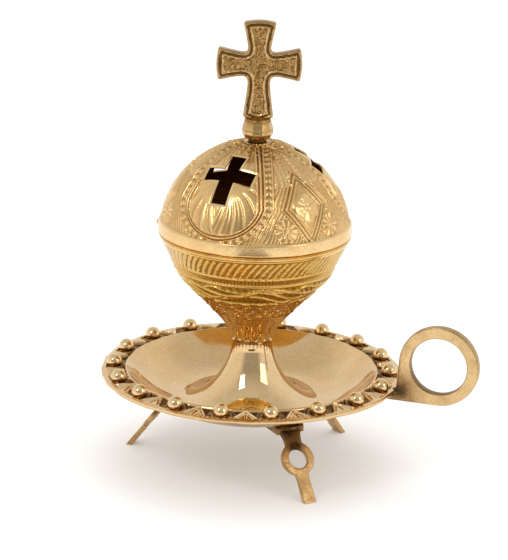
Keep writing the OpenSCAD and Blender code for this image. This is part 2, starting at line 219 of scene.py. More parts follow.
def mesh_from(name, vertices, faces, smooth=True):
    """A mesh from vertices in millimetres about the bowl's axis."""
    points = np.asarray(vertices, float) + np.array([AXIS_X, 0, 0])
    mesh = bpy.data.meshes.new(name)
    mesh.from_pydata((points * MM).tolist(), [], [list(map(int, f)) for f in faces])
    mesh.polygons.foreach_set("use_smooth", [smooth] * len(mesh.polygons))
    mesh.validate()
    mesh.update()
    return mesh


def grid_faces(rows, columns, close_rows, close_columns, first=0):
    """Quads of a grid of rows x columns vertices, which may wrap round either way."""
    i = np.arange(rows if close_rows else rows - 1)
    j = np.arange(columns if close_columns else columns - 1)
    a, b = np.meshgrid(i, j, indexing="ij")
    c, d = (a + 1) % rows, (b + 1) % columns
    quads = np.stack([a * columns + b, c * columns + b, c * columns + d, a * columns + d], -1)
    return quads.reshape(-1, 4) + first


def revolved(profile, normals, azimuths, height):
    """Vertices of a turned surface, pushed out along its normal by height[row, column]."""
    turn = np.radians(azimuths)[None, :]
    r = profile[:, :1] + normals[:, :1] * height
    z = profile[:, 1:] + normals[:, 1:] * height
    return np.stack([r * np.sin(turn), -r * np.cos(turn), z], -1).reshape(-1, 3)


def profile_normals(profile):
    """Normals to the left of a closed profile's direction of travel."""
    ahead = np.roll(profile, -1, 0) - np.roll(profile, 1, 0)
    ahead = ahead / np.maximum(np.linalg.norm(ahead, axis=1)[:, None], 1e-9)
    return np.c_[ahead[:, 1], -ahead[:, 0]]


def paint(mesh, name, values):
    """Stores a number per vertex that the materials read, such as how worn the brass is, with painted light
    and shade in a few places.
    """
    layer = mesh.attributes.new(name, "FLOAT", "POINT")
    layer.data.foreach_set("value", np.clip(values, 0, 1).astype(np.float32))


@contextmanager
def editing(mesh):
    """A mesh's bmesh, written back at the end."""
    work = bmesh.new()
    work.from_mesh(mesh)
    yield work
    work.to_mesh(mesh)
    work.free()


def vertex_values(mesh, key):
    """A vector of each vertex, such as its place or its normal."""
    values = np.zeros(len(mesh.vertices) * 3)
    mesh.vertices.foreach_get(key, values)
    return values.reshape(-1, 3)


def vertex_places(mesh):
    """Vertices in millimetres about the bowl's axis."""
    return vertex_values(mesh, "co") / MM - np.array([AXIS_X, 0, 0])


def move_vertices(mesh, places):
    """Puts the vertices at places in millimetres about the bowl's axis."""
    mesh.vertices.foreach_set("co", ((places + np.array([AXIS_X, 0, 0])) * MM).ravel())
    mesh.update()


def azimuths_of(places):
    return np.degrees(np.arctan2(places[:, 0], -places[:, 1]))


def cut(mesh, cutters):
    """The mesh less the cutters, by an exact boolean."""
    target = bpy.data.objects.new("cut_target", mesh)
    tool_mesh = bpy.data.meshes.new("cut_tool")
    joined = bmesh.new()
    for cutter in cutters:
        joined.from_mesh(cutter)
    joined.to_mesh(tool_mesh)
    joined.free()
    tool = bpy.data.objects.new("cut_tool", tool_mesh)
    for thing in (target, tool):
        bpy.context.scene.collection.objects.link(thing)
    modifier = target.modifiers.new("cut", "BOOLEAN")
    modifier.operation = "DIFFERENCE"
    modifier.solver = "EXACT"
    modifier.object = tool
    depsgraph = bpy.context.evaluated_depsgraph_get()
    result = bpy.data.meshes.new_from_object(target.evaluated_get(depsgraph))
    for thing in (target, tool):
        bpy.data.objects.remove(thing)
    return result


def prism_mesh(matrix, outline, depth):
    """An outline in the matrix's x, y plane, extruded both ways along its z."""
    count = len(outline)
    points = [matrix @ Vector((x, y, z)) for z in (-depth / 2, depth / 2) for x, y in outline]
    faces = [tuple(range(count - 1, -1, -1)), tuple(range(count, 2 * count))]
    faces += [(i, (i + 1) % count, (i + 1) % count + count, i + count) for i in range(count)]
    return mesh_from("prism", [tuple(p) for p in points], faces, smooth=False)


def radial_matrix(azimuth, elevation=0.0, centre=(0, 0, 0)):
    """Columns: tangent, up along the meridian, outward."""
    a, e = math.radians(azimuth), math.radians(elevation)
    out = Vector((math.cos(e) * math.sin(a), -math.cos(e) * math.cos(a), math.sin(e)))
    tangent = Vector((math.cos(a), math.sin(a), 0))
    up = out.cross(tangent)
    matrix = Matrix((tangent, up, out)).transposed().to_4x4()
    matrix.translation = Vector(centre)
    return matrix


def upright_matrix(azimuth):
    """x outward, y up, z along the tangent."""
    a = math.radians(azimuth)
    out = Vector((math.sin(a), -math.cos(a), 0))
    up = Vector((0, 0, 1))
    return Matrix((out, up, out.cross(up))).transposed().to_4x4()


def plate(name, outlines, thickness, edge, matrix, material, body):
    """A flat plate with round edges. The first outline is its outside and the others are holes."""
    curve = bpy.data.curves.new(name, "CURVE")
    curve.dimensions = "2D"
    curve.fill_mode = "BOTH"
    curve.extrude = (thickness / 2 - edge) * MM
    curve.bevel_depth = edge * MM
    curve.bevel_resolution = 3
    curve.offset = -edge * MM
    for outline in outlines:
        spline = curve.splines.new("POLY")
        spline.points.add(len(outline) - 1)
        for point, (x, y) in zip(spline.points, outline):
            point.co = (x * MM, y * MM, 0, 1)
        spline.use_cyclic_u = True
    holder = bpy.data.objects.new(name + "_curve", curve)
    bpy.context.scene.collection.objects.link(holder)
    depsgraph = bpy.context.evaluated_depsgraph_get()
    mesh = bpy.data.meshes.new_from_object(holder.evaluated_get(depsgraph))
    bpy.data.objects.remove(holder)
    places = Matrix.Translation((AXIS_X * MM, 0, 0)) @ Matrix.Scale(MM, 4) @ matrix @ Matrix.Scale(1 / MM, 4)
    mesh.transform(places)
    clean(mesh)
    shade_by_angle(mesh, 35)
    return link(name, mesh, material, body)


def clean(mesh, reach=0.002):
    """Welds vertices closer than a reach and turns the faces outward."""
    with editing(mesh) as work:
        bmesh.ops.remove_doubles(work, verts=work.verts, dist=reach * MM)
        bmesh.ops.recalc_face_normals(work, faces=work.faces)


def shade_by_angle(mesh, angle):
    """Smooth shading, apart from edges that turn by more than an angle."""
    mesh.polygons.foreach_set("use_smooth", [True] * len(mesh.polygons))
    limit = math.radians(angle)
    with editing(mesh) as work:
        for e in work.edges:
            e.smooth = len(e.link_faces) == 2 and e.calc_face_angle(0) < limit


def join(name, meshes):
    """One mesh of several."""
    result = bpy.data.meshes.new(name)
    with editing(result) as work:
        for mesh in meshes:
            work.from_mesh(mesh)
    return result


def ball(centre, radius, rings=14, segments=24):
    mesh = bpy.data.meshes.new("ball")
    place = Matrix.Translation(Vector(centre) * MM + Vector((AXIS_X * MM, 0, 0)))
    with editing(mesh) as work:
        bmesh.ops.create_uvsphere(
            work, u_segments=segments, v_segments=rings, radius=radius * MM, matrix=place
        )
        for f in work.faces:
            f.smooth = True
    return mesh


# ---------------------------------------------------------------- materials
def node(tree, kind, **values):
    made = tree.nodes.new("ShaderNode" + kind)
    for key, value in values.items():
        if key.startswith("in_"):
            made.inputs[key[3:].replace("_", " ")].default_value = value
        else:
            setattr(made, key, value)
    return made


def ramp(tree, factor, stops):
    made = node(tree, "ValToRGB")
    elements = made.color_ramp.elements
    elements[0].position, elements[0].color = stops[0][0], (*stops[0][1], 1)
    elements[1].position, elements[1].color = stops[-1][0], (*stops[-1][1], 1)
    for position, colour in stops[1:-1]:
        elements.new(position).color = (*colour, 1)
    tree.links.new(factor, made.inputs["Fac"])
    return made.outputs["Color"]


def mapped(tree, value, low, high, to_low, to_high):
    made = node(tree, "MapRange", in_From_Min=low, in_From_Max=high, in_To_Min=to_low, in_To_Max=to_high)
    tree.links.new(value, made.inputs["Value"])
    return made.outputs["Result"]


def maths(tree, operation, a, b):
    made = node(tree, "Math", operation=operation)
    for socket, value in zip(made.inputs, (a, b)):
        if isinstance(value, (int, float)):
            socket.default_value = value
        else:
            tree.links.new(value, socket)
    return made.outputs["Value"]


# Share of the way to white that bare, newly rubbed brass is paler by
BARE_GAIN = (0.28, 0.21, 0.12)


def brass(name, dark, middle, light, rough, patina_size, scratch, pits, wear_and_light_attribute=None):
    """Brass with a patina in its hollows, cloudy tarnish, fine scratches and casting pits.

    rough is (on worn highs, in hollows). scratch and pits are bump strengths.
    """
    material = bpy.data.materials.new(name)
    material.use_nodes = True
    tree = material.node_tree
    shader = tree.nodes["Principled BSDF"]
    shader.inputs["Metallic"].default_value = 1.0
    place = node(tree, "TexCoord").outputs["Object"]
    cloud = node(tree, "TexNoise", in_Scale=1 / (patina_size * MM), in_Detail=5.0, in_Roughness=0.62)
    tree.links.new(place, cloud.inputs["Vector"])
    speck = node(tree, "TexNoise", in_Scale=1 / (0.9 * MM), in_Detail=3.0, in_Roughness=0.6)
    tree.links.new(place, speck.inputs["Vector"])
    tarnish = mapped(tree, cloud.outputs["Fac"], 0.35, 0.68, 0.0, 1.0)
    if wear_and_light_attribute:
        wear_and_painted_light = node(tree, "Attribute", attribute_name=wear_and_light_attribute).outputs["Fac"]
        mottle = maths(tree, "MULTIPLY", maths(tree, "SUBTRACT", speck.outputs["Fac"], 0.5), 0.35)
        clouds = maths(tree, "MULTIPLY", maths(tree, "SUBTRACT", tarnish, 0.5), -0.12)
        wear_and_painted_light = maths(tree, "ADD", maths(tree, "ADD", wear_and_painted_light, mottle), clouds)
    else:
        wear_and_painted_light = maths(tree, "SUBTRACT", 0.86, maths(tree, "MULTIPLY", tarnish, 0.3))
    bare = [c + (1 - c) * gain for c, gain in zip(light, BARE_GAIN)]
    colour = ramp(tree, wear_and_painted_light, ((0.0, dark), (0.42, middle), (0.85, light), (1.0, bare)))
    tree.links.new(colour, shader.inputs["Base Color"])
    roughness = mapped(tree, wear_and_painted_light, 0.1, 0.85, rough[1], rough[0])
    smear = mapped(tree, tarnish, 0.0, 1.0, -0.015, 0.03)
    polish = mapped(tree, wear_and_painted_light, 0.88, 0.98, 0.0, -0.4 * rough[0])
    smear = maths(tree, "ADD", smear, polish)
    tree.links.new(maths(tree, "ADD", roughness, smear), shader.inputs["Roughness"])

    lines = node(tree, "TexNoise", in_Scale=1.0, in_Detail=2.0, in_Roughness=0.5)
    stretch = node(tree, "Mapping")
    stretch.inputs["Scale"].default_value = (1 / (0.35 * MM), 1 / (0.35 * MM), 1 / (6 * MM))
    tree.links.new(place, stretch.inputs["Vector"])
    tree.links.new(stretch.outputs["Vector"], lines.inputs["Vector"])
    pitting = node(tree, "TexVoronoi", in_Scale=1 / (0.75 * MM))
    tree.links.new(place, pitting.inputs["Vector"])
    pit = mapped(tree, pitting.outputs["Distance"], 0.0, 0.45, 0.0, 1.0)
    first = node(tree, "Bump", in_Strength=scratch, in_Distance=0.05 * MM)
    tree.links.new(lines.outputs["Fac"], first.inputs["Height"])
    second = node(tree, "Bump", in_Strength=pits, in_Distance=0.12 * MM)
    tree.links.new(pit, second.inputs["Height"])
    tree.links.new(first.outputs["Normal"], second.inputs["Normal"])
    tree.links.new(second.outputs["Normal"], shader.inputs["Normal"])
    return material


CHASED = brass("chased_brass", (0.13, 0.058, 0.012), (0.46, 0.258, 0.074), (0.77, 0.51, 0.225),
               (0.19, 0.42), 9, 0.06, 0.12, "wear_and_painted_light")
GOLDEN = brass("golden_brass", (0.21, 0.108, 0.016), (0.47, 0.26, 0.042), (0.62, 0.372, 0.092),
               (0.18, 0.40), 9, 0.06, 0.12, "wear_and_painted_light")
POLISHED = brass("polished_brass", (0.09, 0.045, 0.016), (0.42, 0.25, 0.09), (0.71, 0.467, 0.226),
                 (0.05, 0.4), 14, 0.03, 0.03, "wear_and_painted_light")
CAST = brass("cast_brass", (0.09, 0.042, 0.012), (0.30, 0.16, 0.046), (0.55, 0.345, 0.138),
             (0.2, 0.48), 6, 0.2, 0.35, "wear_and_painted_light")
FOOT = brass("foot_brass", (0.06, 0.03, 0.012), (0.32, 0.175, 0.06), (0.58, 0.365, 0.155),
             (0.24, 0.5), 5, 0.35, 0.5, "wear_and_painted_light")
SATIN = brass("satin_brass", (0.09, 0.05, 0.02), (0.40, 0.245, 0.10), (0.70, 0.485, 0.24),
              (0.2, 0.45), 7, 0.35, 0.2, "wear_and_painted_light")
FASTENER = brass("fastener_brass", (0.10, 0.055, 0.02), (0.38, 0.23, 0.09), (0.62, 0.42, 0.20),
                 (0.25, 0.45), 3, 0.5, 0.1)


# ---------------------------------------------------------------- lid
ROUND_STEPS = 1200
LID_ROWS = 250
PLAIN_BAND_EL = 9.2
BAND_PROUD = 0.42
GROUND = -0.42

# Panels round the pierced crosses. Their sides follow meridians down to a level, then a round bottom.
PANEL_HALF_AZ = 28.5
PANEL_SHIFT_AZ = 2.5
PANEL_TURN_V = -13.0
PANEL_DEPTH = 11.6
PANEL_LINES = ((0.0, 0.46, 0.34), (1.3, 0.34, 0.24), (4.4, 0.36, 0.28), (-1.2, 0.3, 0.18))
BEAD_LINE = 2.85
BEAD_PITCH = 2.7
BORDER_REACH = 7
FIELD_START = 4.9

# Lozenge and daisies between the panels, in mm from the lozenge's middle
LOZENGE_EL = 29.5
LOZENGE_HALF = (8.2, 12.8)
LOZENGE_LINES = ((0.0, 0.42, 0.34), (1.35, 0.36, 0.28), (-1.3, 0.3, 0.2))
DAISY_PLACE = (9.9, -7.8)
DAISY_R = 4.6
SMALL_DAISY_PLACE = (3.6, -15.4)
SMALL_DAISY_R = 1.9
RAYS = 26.0


def arc_length(az, el):
    """Length in mm of an arc of az degrees round the globe."""
    return GLOBE_R * np.cos(np.radians(el)) * np.radians(az)


def globe_point(az, el):
    """Place on the globe about its centre: across, towards the front, up."""
    turn, rise = np.radians(az), np.radians(el)
    flat = GLOBE_R * np.cos(rise)
    return flat * np.sin(turn), flat * np.cos(turn), GLOBE_R * np.sin(rise)


def beads_on_line(distance, travel, offset, spacing, radius):
    """Round beads in a row beside a line."""
    return bump(np.hypot(distance - offset, wrap(travel, spacing)), radius)


def panel_distance(u, v, offset, el, centre_el):
    """Distance outside a panel's edge, and how far along the edge a point is."""
    turn_el = centre_el + math.degrees(PANEL_TURN_V / GLOBE_R)
    half_w = GLOBE_R * math.radians(PANEL_HALF_AZ) * math.cos(math.radians(turn_el))
    rise = v - PANEL_TURN_V
    low = np.hypot(u / half_w, rise / PANEL_DEPTH)
    angle = np.arctan2(u / half_w, -rise / PANEL_DEPTH)
    low_distance = (low - 1) * (half_w * np.abs(np.sin(angle)) + PANEL_DEPTH * np.abs(np.cos(angle)))
    distance = np.where(rise < 0, low_distance, arc_length(np.abs(offset) - PANEL_HALF_AZ, el))
    travel = np.where(rise < 0, np.abs(angle) * half_w, half_w * np.pi / 2 + rise)
    return distance, travel


def panel_fan(u, v, d):
    """Quills that fan out below the pierced cross, and faint lines beside it."""
    fan_angle = np.arctan2(u + 1.5, -(v + 4.0))
    fan_radius = np.hypot(u + 1.5, v + 4.0)
    fan = between(9.8, 30, fan_radius, 1.8) * (1 - step(1.7, 2.1, np.abs(fan_angle))) * step(1.2, 2.0, -d)
    bend = fan_angle + 0.03 * (fan_radius - 8) * np.sign(fan_angle)
    quills = 0.13 * np.cos(bend * 24) + 0.07 * np.cos(bend * 48 + 1.0) - 0.04
    side = between(-3, 26, v, 2) * between(-4.6, -1.6, d, 0.3)
    return fan * quills + side * 0.07 * np.cos(u * 2.6 + v * 0.7)


def vent_panel(az, el):
    """Relief of the panels round the pierced crosses, and how far outside the nearest one a point is."""
    relief = np.zeros(np.broadcast(az, el).shape)
    outside = np.full(relief.shape, 99.0)
    for centre, centre_el in VENTS:
        offset = wrap(az - centre - PANEL_SHIFT_AZ, 360.0)
        u, v = arc_length(offset, el), GLOBE_R * np.radians(el - centre_el)
        d, travel = panel_distance(u, v, offset, el, centre_el)
        lines = sum(ridge(d, *line) for line in PANEL_LINES)
        row = beads_on_line(d, travel, BEAD_LINE, BEAD_PITCH, 0.98) * 0.62 - 0.3 * bump(d - BEAD_LINE, 1.05)
        relief += np.where(d < BORDER_REACH, lines + row + panel_fan(u, v, d), 0)
        outside = np.minimum(outside, d)
    return relief, outside


def rosette(u, v, radius, petals):
    """A daisy with round petals and a button, sunk a little in the ground."""
    r = np.hypot(u, v)
    angle = np.arctan2(v, u)
    petal = (0.5 + 0.5 * np.cos(angle * petals)) ** 0.7 * between(0.28 * radius, 0.95 * radius, r, 0.35)
    return 0.42 * petal - 0.12 * (r < radius) + 0.4 * bump(r, 0.2 * radius)


def lozenge_star(u, v):
    """Star of four broad and four thin points in the lozenge."""
    r, angle = np.hypot(u, v), np.arctan2(v, u * 1.25)
    star = np.abs(np.cos(2 * angle)) ** 1.5 * between(1.0, 5.2, r, 0.5) + bump(r, 0.9)
    thin = np.abs(np.sin(2 * angle)) ** 6 * between(1.2, 4.2, r, 0.4)
    return 0.5 * star + 0.35 * thin


def field_panel(az, el, outside):
    """Relief between the cross panels: lozenge with a star, daisies, engraved strokes, rays and dots."""
    relief = np.zeros(outside.shape)
    for k, (start, _) in enumerate(VENTS):
        width = wrap(VENTS[(k + 1) % len(VENTS)][0] - start, 360.0) % 360.0
        offset = wrap(az - start - width / 2, 360.0)
        u, v = arc_length(offset, el), GLOBE_R * np.radians(el - LOZENGE_EL)
        diamond = (np.abs(u) / LOZENGE_HALF[0] + np.abs(v) / LOZENGE_HALF[1] - 1) * 6.9
        shape = sum(ridge(diamond, *line) for line in LOZENGE_LINES)
        shape += np.where(diamond < -1.3, lozenge_star(u, v), 0)
        for side in (-1, 1):
            daisy_u, small_u = u - side * DAISY_PLACE[0], u - side * SMALL_DAISY_PLACE[0]
            shape += rosette(daisy_u, v - DAISY_PLACE[1], DAISY_R, 10) * (diamond > 1.5)
            shape += rosette(small_u, v - SMALL_DAISY_PLACE[1], SMALL_DAISY_R, 8) * (diamond > 1.4)
        strokes = np.cos(5.2 * (0.85 * np.abs(u) + 0.5 * v) + 2.4 * noise(u / 4, v / 4, 2.0))
        from_daisy = np.hypot(np.abs(u) - DAISY_PLACE[0], v - DAISY_PLACE[1])
        shape += 0.1 * strokes * (diamond > 1.9) * (from_daisy > DAISY_R + 0.2) * (v < 9)
        pitch = width / RAYS
        rays = between(9.5, 22, v, 1.2) * (diamond > 1.6)
        shape += rays * 0.3 * bump(wrap(offset, pitch), pitch * 0.24)
        dots = bump(np.hypot(wrap(v, 1.9), arc_length(np.abs(offset) - 6.5, el)), 0.55)
        shape += 0.5 * dots * between(9, 27, v, 1)
        relief += np.where((np.abs(offset) < width / 2) & (outside > FIELD_START), shape, 0)
    return relief


def vent_gap(az, el):
    """Distance in mm from the nearest pierced cross, negative inside it."""
    gap = np.full(az.shape, 99.0)
    x, y, z = globe_point(az, el)
    for centre, centre_el in VENTS:
        matrix = radial_matrix(centre, centre_el)
        u, v, out = (x * matrix[0][k] - y * matrix[1][k] + z * matrix[2][k] for k in range(3))
        bar = np.maximum(np.abs(u) - VENT_SIDE, np.abs(v) - VENT_HALF_W)
        post = np.maximum.reduce([np.abs(u) - VENT_HALF_W, v - VENT_UP, -VENT_DOWN - v])
        gap = np.where(out > 0, np.minimum(gap, np.minimum(bar, post)), gap)
    return gap


def crown_relief(az, el):
    """Chevrons round the lid's top, and the row of pearls above them."""
    crown = between(69, 77.5, el, 0.4)
    chevron = 0.3 * bump(wrap(az / 15 + np.abs(wrap(el, 5)) * 0.16, 1.0), 0.16)
    pearl_el = 79.6
    across = arc_length(wrap(az, 18.0), pearl_el)
    pearls = 0.5 * bump(np.hypot(GLOBE_R * np.radians(el - pearl_el), across), 0.75)
    return crown, crown * chevron + pearls


def lid_relief(az, el):
    """Height of the chasing on the lid in mm. The plain band at the seam stands proud of the globe."""
    az, el = np.broadcast_arrays(az, el)
    panel, outside = vent_panel(az, el)
    x, y, z = globe_point(az, el)
    stipple = grain(x, y, z, 0.85) * 0.04 * (outside > 4.7)
    crown, top = crown_relief(az, el)
    ground = GROUND + 0.12 * (outside < -1.3)
    decorated = ground + panel + field_panel(az, el, outside) * (1 - crown) + stipple + top
    gap = vent_gap(az, el)
    clear = step(0.7, 1.6, gap)
    decorated = np.where(gap < 1.6, decorated * clear - 0.3 * (1 - clear), decorated)
    decorated = decorated - 0.45 * (1 - step(-0.2, 0.9, gap))
    plain = (1 - step(PLAIN_BAND_EL, PLAIN_BAND_EL + 0.7, el)) + step(81.5, 82.2, el)
    band = BAND_PROUD * (1 - step(PLAIN_BAND_EL - 0.6, PLAIN_BAND_EL + 0.2, el))
    hammered = 0.03 * noise(x / 7, y / 7, z / 7)
    return decorated * (1 - plain) + hammered + band - 0.05 * bump(el - PLAIN_BAND_EL - 0.2, 0.5)


def lid_outline(rows):
    """Closed section of the lid, outer surface first."""
    rim_z = SEAM_Z + SEAM_GAP
    low = math.degrees(math.asin((rim_z + SEAM_BEVEL - GLOBE_Z) / GLOBE_R))
    flat_r = math.sqrt(GLOBE_R ** 2 - (LID_TOP_Z - GLOBE_Z) ** 2)
    high = math.degrees(math.acos(flat_r / GLOBE_R))
    el = np.radians(np.linspace(low, high, rows))
    outer = np.c_[GLOBE_R * np.cos(el), GLOBE_Z + GLOBE_R * np.sin(el)]
    inner_r = GLOBE_R - LID_WALL
    el = np.linspace(math.acos(BOSS_R / inner_r), math.asin((rim_z - GLOBE_Z) / inner_r), 26)
    inner = np.c_[inner_r * np.cos(el), GLOBE_Z + inner_r * np.sin(el)]
    rim = [[outer[0][0] - SEAM_BEVEL, rim_z], [outer[0][0] - SEAM_BEVEL * 0.3, rim_z + 0.1]]
    top = [[SHANK_HOLE_R, LID_TOP_Z], [SHANK_HOLE_R, BOSS_Z], [BOSS_R, BOSS_Z]]
    return np.vstack([outer, top, inner, rim])


def vent_cutters():
    """A Latin cross, extruded along its radius, for each opening."""
    quarter = [(-VENT_SIDE, -VENT_HALF_W), (-VENT_HALF_W, -VENT_HALF_W), (-VENT_HALF_W, -VENT_DOWN)]
    lower = quarter + [(-x, y) for x, y in reversed(quarter)]
    upper = [(VENT_SIDE, VENT_HALF_W), (VENT_HALF_W, VENT_HALF_W), (VENT_HALF_W, VENT_UP)]
    cross = lower + upper + [(-x, y) for x, y in reversed(upper)]
    depth = 24
    made = []
    for azimuth, elevation in VENTS:
        matrix = radial_matrix(azimuth, elevation, (0, 0, GLOBE_Z))
        made.append(prism_mesh(matrix @ Matrix.Translation((0, 0, GLOBE_R)), cross, depth))
    return made


def hinge_prism(outline, width, at=0.0):
    """An outline in the hinge's upright plane, extruded along the pin."""
    matrix = upright_matrix(HINGE_AZ) @ Matrix.Translation((HINGE_R, HINGE_Z, -at))
    return prism_mesh(matrix, outline, width)


def pin_cylinder(radius, length, at=0.0, segments=32):
    """A cylinder along the hinge pin."""
    turns = np.linspace(0, 2 * math.pi, segments, False)
    return hinge_prism([(radius * math.cos(t), radius * math.sin(t)) for t in turns], length, at)


def worn_from(height, low, high):
    return (height - low) / (high - low)


def make_lid():
    outline = lid_outline(LID_ROWS)
    normals = profile_normals(outline)
    normals[:LID_ROWS] = (outline[:LID_ROWS] - [0, GLOBE_Z]) / GLOBE_R
    az = np.linspace(0, 360, ROUND_STEPS, endpoint=False)
    el = np.degrees(np.arcsin((outline[:LID_ROWS, 1] - GLOBE_Z) / GLOBE_R))
    height = np.zeros((len(outline), ROUND_STEPS))
    height[:LID_ROWS] = lid_relief(az[None, :], el[:, None])
    height[0] = 0.3
    vertices = revolved(outline, normals, az, height)
    mesh = mesh_from("lid_shell", vertices, grid_faces(len(outline), ROUND_STEPS, True, True))
    clean(mesh)
    ear_y = LUG_L / 2 + KNUCKLE_GAP + EAR_L / 2
    recesses = [pin_cylinder(RECESS_R, EAR_L + 2 * KNUCKLE_GAP, s * ear_y) for s in (-1, 1)]
    mesh = cut(mesh, vent_cutters() + recesses)
    shade_by_angle(mesh, 48)
    paint(mesh, "wear_and_painted_light", lid_wear_and_painted_light(vertex_places(mesh)))
    shell = link("lid_shell", mesh, CHASED, "lid")
    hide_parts("lid")
    return shell


def lid_wear_and_painted_light(places):
    """Wear of the lid, with painted light: patina in the chasing, a clean band, openings whose cut walls and
    edges are painted bright, partly as filed metal and partly as painted light, and a duller inside.
    """
    r = np.linalg.norm(places - [0, 0, GLOBE_Z], axis=1)
    az = azimuths_of(places)
    el = np.degrees(np.arcsin(np.clip((places[:, 2] - GLOBE_Z) / np.maximum(r, 1e-6), -1, 1)))
    wear_and_painted_light = np.clip(worn_from(lid_relief(az, el), -0.85, -0.2), 0, 0.85) - 0.3 * step(58, 78, el)
    wear_and_painted_light = np.where(el < PLAIN_BAND_EL + 0.1, 0.9, wear_and_painted_light)
    # Painted light: the cut walls of the openings and a band about a millimetre round them are painted
    # bright, partly as filed metal and partly as painted light.
    wear_and_painted_light = np.maximum(wear_and_painted_light, 0.9 * (1 - step(0.8, 1.1, vent_gap(az, el))))
    outer = step(GLOBE_R - 1.15, GLOBE_R - 1.0, r)
    # Painted light: the cut walls stay bright down to the inner surface, which is duller.
    core = 0.4 * step(GLOBE_R - LID_WALL + 0.02, GLOBE_R - LID_WALL + 0.1, r) + 0.5
    return wear_and_painted_light * outer + (1 - outer) * core


# ---------------------------------------------------------------- bowl
BEAD_ROW = np.array([LIP_R - 5.1, SEAM_Z - 12.0])
BELLY_START = BEAD_ROW - [0.6, 2.0]
BELLY = [BELLY_START, BELLY_START - [3.4, 6.6], np.array([NECK_R + 3, SHOULDER_Z + 9.4]),
         np.array([NECK_R, SHOULDER_Z])]
LIP_UNDER = SEAM_Z - 1.8
LIP_PROUD = 0.45
TENON_R = 6.25
CORE_R = 1.0

# Bands of ornament, as (low, high) heights, and how often each repeats
GADROON_Z = (80.3, 87.2)
GADROONS = 80
BOWL_BEADS_Z = (77.5, 79.5)
BOWL_BEADS = 150
SWAG_Z = (68.6, 76.2)
SCALE_Z = (60.8, 68.4)
SCALE_H = 1.75
SCALES = 26
NECK_Z = (49.4, 60.2)
NECK_LEAVES = 14
# Swags as (waves, phase, middle height, swing, width)
SWAGS = (
    (5, 0.3, 73.4, 1.9, 0.62),
    (5, 1.1, 72.0, 2.1, 0.5),
    (5, 2.2, 71.0, 1.7, 0.45),
    (10, 0.4, 74.6, 0.8, 0.4),
)


def gadroon_relief(turn, z):
    """Slanting lobes under the lip, and the beads below them between two lines."""
    slant = np.radians(1.15 * (z - 84) + 0.06 * (z - 84) ** 2)
    lobe = 0.5 + 0.5 * np.cos(GADROONS * (turn - slant))
    relief = between(*GADROON_Z, z, 0.25) * (0.24 * lobe ** 0.35 - 0.28)
    beads = 0.5 * np.sqrt(np.abs(np.cos(BOWL_BEADS / 2 * turn))) - 0.46
    relief += between(*BOWL_BEADS_Z, z, 0.2) * beads
    return relief + 0.22 * bump(z - 80.0, 0.3) + 0.28 * bump(z - 77.0, 0.42)


def swag_relief(turn, z):
    """Leaf swags that cross each other, with fine veins between."""
    swags = np.zeros(z.shape)
    for waves, phase, middle, swing, width in SWAGS:
        line = middle + swing * np.sin(waves * turn + phase) + 0.3 * np.sin(2 * waves * turn)
        swags = np.maximum(swags, bump(z - line, width))
    veins = 0.12 * np.cos(70 * turn + 2.4 * z) * (1 - swags)
    return 0.62 * swags + veins - 0.5


def scale_relief(turn, z):
    """Rows of overlapping scales."""
    row = np.floor(z / SCALE_H)
    across = wrap(turn / (2 * np.pi) * SCALES + 0.5 * (row % 2), 1.0)
    up = wrap(z - row * SCALE_H, SCALE_H) / SCALE_H
    blossom = bump(np.hypot(across * 2.2, up * 1.6), 0.75)
    return 0.42 * blossom + 0.0022 * z - 0.446


def neck_relief(turn, z):
    """Upright leaves round the neck, each with veins."""
    leaf = np.abs(np.cos(NECK_LEAVES / 2 * turn + 0.35 * np.sin(z * 0.7)))
    vein = np.abs(np.cos(NECK_LEAVES * 1.5 * turn + 0.5 * np.sin(z)))
    return 0.5 * leaf ** 0.6 + 0.16 * vein - 0.55


def bowl_relief(az, z):
    """Height of the chasing on the bowl in mm: lip, gadroons, beads, leaf swags, scales and neck leaves."""
    az, z = np.broadcast_arrays(az, z)
    turn = np.radians(az)
    swag, scale, neck = (between(*SWAG_Z, z, 0.4), between(*SCALE_Z, z, 0.4), between(*NECK_Z, z, 0.5))
    relief = gadroon_relief(turn, z) + swag * swag_relief(turn, z)
    relief += scale * scale_relief(turn, z) + neck * neck_relief(turn, z)
    relief += 0.3 * bump(z - 68.5, 0.35) + 0.25 * bump(z - 60.6, 0.4) + 0.25 * bump(z - 49.0, 0.3)
    relief += LIP_PROUD * step(LIP_UNDER + 0.1, LIP_UNDER + 0.7, z)
    radius = 30 - (SEAM_Z - z) * 0.5
    x, y = radius * np.cos(turn), radius * np.sin(turn)
    textured = np.maximum.reduce([swag, scale, neck, between(*GADROON_Z, z, 0.25) * 0.5])
    return relief + textured * 0.09 * grain(x, y, z, 0.8) + 0.03 * noise(x / 6, y / 6, z / 6)


def bowl_outer():
    """Outer surface of the bowl from the lip down to the shoulder."""
    lip = along((LIP_R, SEAM_Z - SEAM_BEVEL), (LIP_R, LIP_UNDER), 8, False)
    band = along((LIP_R, LIP_UNDER), BEAD_ROW, 56, False)
    join_row = along(BEAD_ROW, BELLY_START, 12, False)
    return np.vstack([lip, band, join_row, cubic(BELLY, np.linspace(0, 1, 130))])


